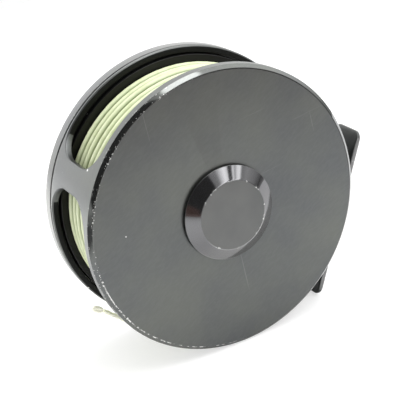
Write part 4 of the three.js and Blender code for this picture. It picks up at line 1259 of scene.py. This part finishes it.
def floor_look():
    """Pale and plain to the camera, with painted light and shade seen only in reflections, and clear when
    seen from below.
    """
    look = Look("floor", roughness=0.9)
    seen = look.add("ShaderNodeLightPath").outputs["Is Camera Ray"]
    geometry = look.add("ShaderNodeNewGeometry").outputs
    spot = look.parts(geometry["Position"])
    # painted light and shade, seen only in reflections: the floor's colour is darkened to the left and
    # towards the camera, turns brown far in front, and it glows behind the reel
    left = look.ramp(look.minus(spot[0], look.times(spot[1], DARK_LEAN)), *DARK_LEFT)
    dark = look.times(left, look.ramp(spot[1], *DARK_FROM))
    pale = look.mix(look.noise(0.02, 2.0), (0.86, 0.86, 0.86), (0.88, 0.88, 0.88))
    pale = look.mix(look.ramp(spot[1], *FALL_OFF), pale, (0.45, 0.45, 0.45))
    pale = look.mix(dark, pale, (0.12, 0.12, 0.125))
    reflected = look.mix(look.ramp(spot[1], *BROWN_FRONT), pale, (0.15, 0.08, 0.065))
    look.set("Base Color", look.mix(seen, reflected, FLOOR_SEEN))
    glow = look.ramp(spot[1], *GLOW_BEHIND, 0.0, GLOW_STRENGTH)
    look.set("Emission Color", (1.0, 1.0, 1.0))
    look.set("Emission Strength", look.ramp(seen, 0.0, 1.0, glow, FLOOR_GLOW))
    clear = look.add("ShaderNodeBsdfTransparent").outputs[0]
    inputs = {0: geometry["Backfacing"], 1: look.surface.outputs[0], 2: clear}
    both = look.add("ShaderNodeMixShader", inputs).outputs[0]
    look.feed(look.tree.nodes["Material Output"].inputs["Surface"], both)
    return look


def make_floor(normal, touch):
    bm = bmesh.new()
    bmesh.ops.create_grid(bm, x_segments=1, y_segments=1, size=FLOOR_SIZE / 2)
    floor = added("floor", mesh_from("floor", bm))
    floor.location = touch
    floor.rotation_mode = "QUATERNION"
    floor.rotation_quaternion = normal.to_track_quat("Z", "Y")
    floor.data.materials.append(floor_look().material)


def make_overhead_light(up):
    light = bpy.data.lights.new("overhead", "AREA")
    light.shape = "RECTANGLE"
    light.size = light.size_y = OVERHEAD_SIZE
    light.energy = OVERHEAD_POWER
    lamp = added("overhead", light)
    offset = up * OVERHEAD_HEIGHT + Vector(OVERHEAD_SHIFT)
    lamp.location = Vector((AXIS.x, FACE + REEL_MIDDLE * MM, AXIS.z)) + offset
    lamp.rotation_mode = "QUATERNION"
    lamp.rotation_quaternion = offset.to_track_quat("Z", "Y")


# The room as the metal sees it. A patch is a direction, the cosines of the angles off it where it starts and
# is full, and its strength.
ROOM_STRENGTH = 1.0
CEILING = ((0.30, -0.20, 0.93), 0.60, 0.92, 1.5)
LAMP = ((-0.22, -0.40, 0.89), 0.972, 0.986, 5.0)
BACKDROP = ((-0.15, 0.97, -0.15), 0.20, 0.85, 1.1)
DARK_ROOM = ((-0.70, -0.68, 0.22), 0.81, 0.84, 0.025)  # behind the camera and to its left
DARK_FRONT = ((0.45, -0.85, 0.28), 0.84, 0.93, 0.12)
RIGHT_WALL = ((0.85, -0.52, 0.12), 0.80, 0.97, 1.3)
BROWN_SHELF, SHELF_TINT = ((-0.61, -0.745, -0.27), 0.987, 0.992, 0.16), (1.0, 0.55, 0.45)
BEYOND_TABLE = 0.6  # how bright the room is below the far edge of the floor
# Window and blinds high behind the camera, as (degrees from straight up towards +X, strength).
BLINDS = [(-28, 0.6), (-8, 0.9), (8, 4.6), (14, 3.6), (16, 0.12), (22, 0.12), (24, 4.2), (28, 1.3)]
BLINDS += [(31, 3.6), (36, 4.4), (39, 0.7), (47, 1.1), (60, 0.7), (68, 0.2), (73, 0.9), (90, 1.0)]
BLINDS_TILT = (0.45, -0.52)  # the blinds are seen where y is under the first times x plus the second


def window_blinds(room, way):
    """How much of the window is seen in a direction, and how bright its blinds are there."""
    parts = room.parts(way)
    swing = room.math("ARCTAN2", parts[0], parts[2])
    first, last = math.radians(BLINDS[0][0]), math.radians(BLINDS[-1][0])
    stripes = room.add("ShaderNodeValToRGB", {0: room.ramp(swing, first, last, kind="LINEAR")})
    brightest = max(bright for _, bright in BLINDS)
    while len(stripes.color_ramp.elements) < len(BLINDS):
        stripes.color_ramp.elements.new(1.0)
    for element, (degrees, bright) in zip(stripes.color_ramp.elements, BLINDS):
        element.position = (math.radians(degrees) - first) / (last - first)
        element.color = (bright / brightest,) * 3 + (1.0,)
    border = room.plus(room.times(parts[0], BLINDS_TILT[0]), BLINDS_TILT[1])
    shown = room.times(room.ramp(room.minus(parts[1], border), 0.02, -0.02), room.ramp(parts[2], 0.0, 0.1))
    return shown, room.times(stripes.outputs[0], brightest)


def make_world(up):
    """A white room to the camera. Reflections see a bright ceiling, a lamp, blinds and dark corners."""
    world = bpy.data.worlds.new("room")
    bpy.context.scene.world = world
    world.use_nodes = True
    world.node_tree.nodes.clear()
    room = Nodes(world.node_tree)
    way = room.add("ShaderNodeTexCoord").outputs["Generated"]

    def along(direction):
        inputs = {0: way, 1: tuple(Vector(direction).normalized())}
        return room.add("ShaderNodeVectorMath", inputs, operation="DOT_PRODUCT").outputs["Value"]

    def patch(limits, outside):
        direction, start, full, inside = limits
        return room.ramp(along(direction), start, full, outside, inside)

    strength = ROOM_STRENGTH
    for bright in (CEILING, LAMP, BACKDROP, RIGHT_WALL):
        strength = room.plus(strength, patch(bright, 0.0))
    strength = room.times(strength, patch(DARK_FRONT, 1.0))
    shown, stripes = window_blinds(room, way)
    strength = room.add("ShaderNodeMix", {0: shown, 2: strength, 3: stripes}, data_type="FLOAT").outputs[0]
    strength = room.times(strength, patch(DARK_ROOM, 1.0))
    strength = room.times(strength, room.ramp(along(up), 0.0, -0.02, 1.0, BEYOND_TABLE))
    strength = room.plus(strength, patch(BROWN_SHELF, 0.0))
    tint = room.mix(patch((*BROWN_SHELF[:3], 1.0), 0.0), (1.0, 1.0, 1.0), SHELF_TINT)
    reflected = room.add("ShaderNodeBackground", {"Color": tint, "Strength": strength}).outputs[0]
    white = room.add("ShaderNodeBackground", {"Color": (1.0, 1.0, 1.0), "Strength": 1.0}).outputs[0]
    seen = room.add("ShaderNodeLightPath").outputs["Is Camera Ray"]
    both = room.add("ShaderNodeMixShader", {0: seen, 1: reflected, 2: white}).outputs[0]
    room.add("ShaderNodeOutputWorld", {"Surface": both})


def make_camera():
    camera = added("camera", bpy.data.cameras.new("camera"))
    aim = CAMERA_AIM.normalized()
    right = aim.cross(CAMERA_UP).normalized()
    up = right.cross(aim)
    turn = Matrix((right, up, -aim)).transposed().to_4x4()
    spot = Vector((AXIS.x, FACE, AXIS.z)) + CAMERA_OFFSET
    camera.matrix_world = Matrix.Translation(spot) @ turn
    camera.data.lens = LENS
    camera.data.sensor_width = FILM
    camera.data.clip_start = 0.01
    bpy.context.scene.camera = camera


up_way, touch_point = table_plane()
make_floor(up_way, touch_point)
make_world(up_way)
make_camera()
make_overhead_light(up_way)
bpy.context.scene.view_settings.view_transform = "Standard"
bpy.context.scene.cycles.use_denoising = True

import json
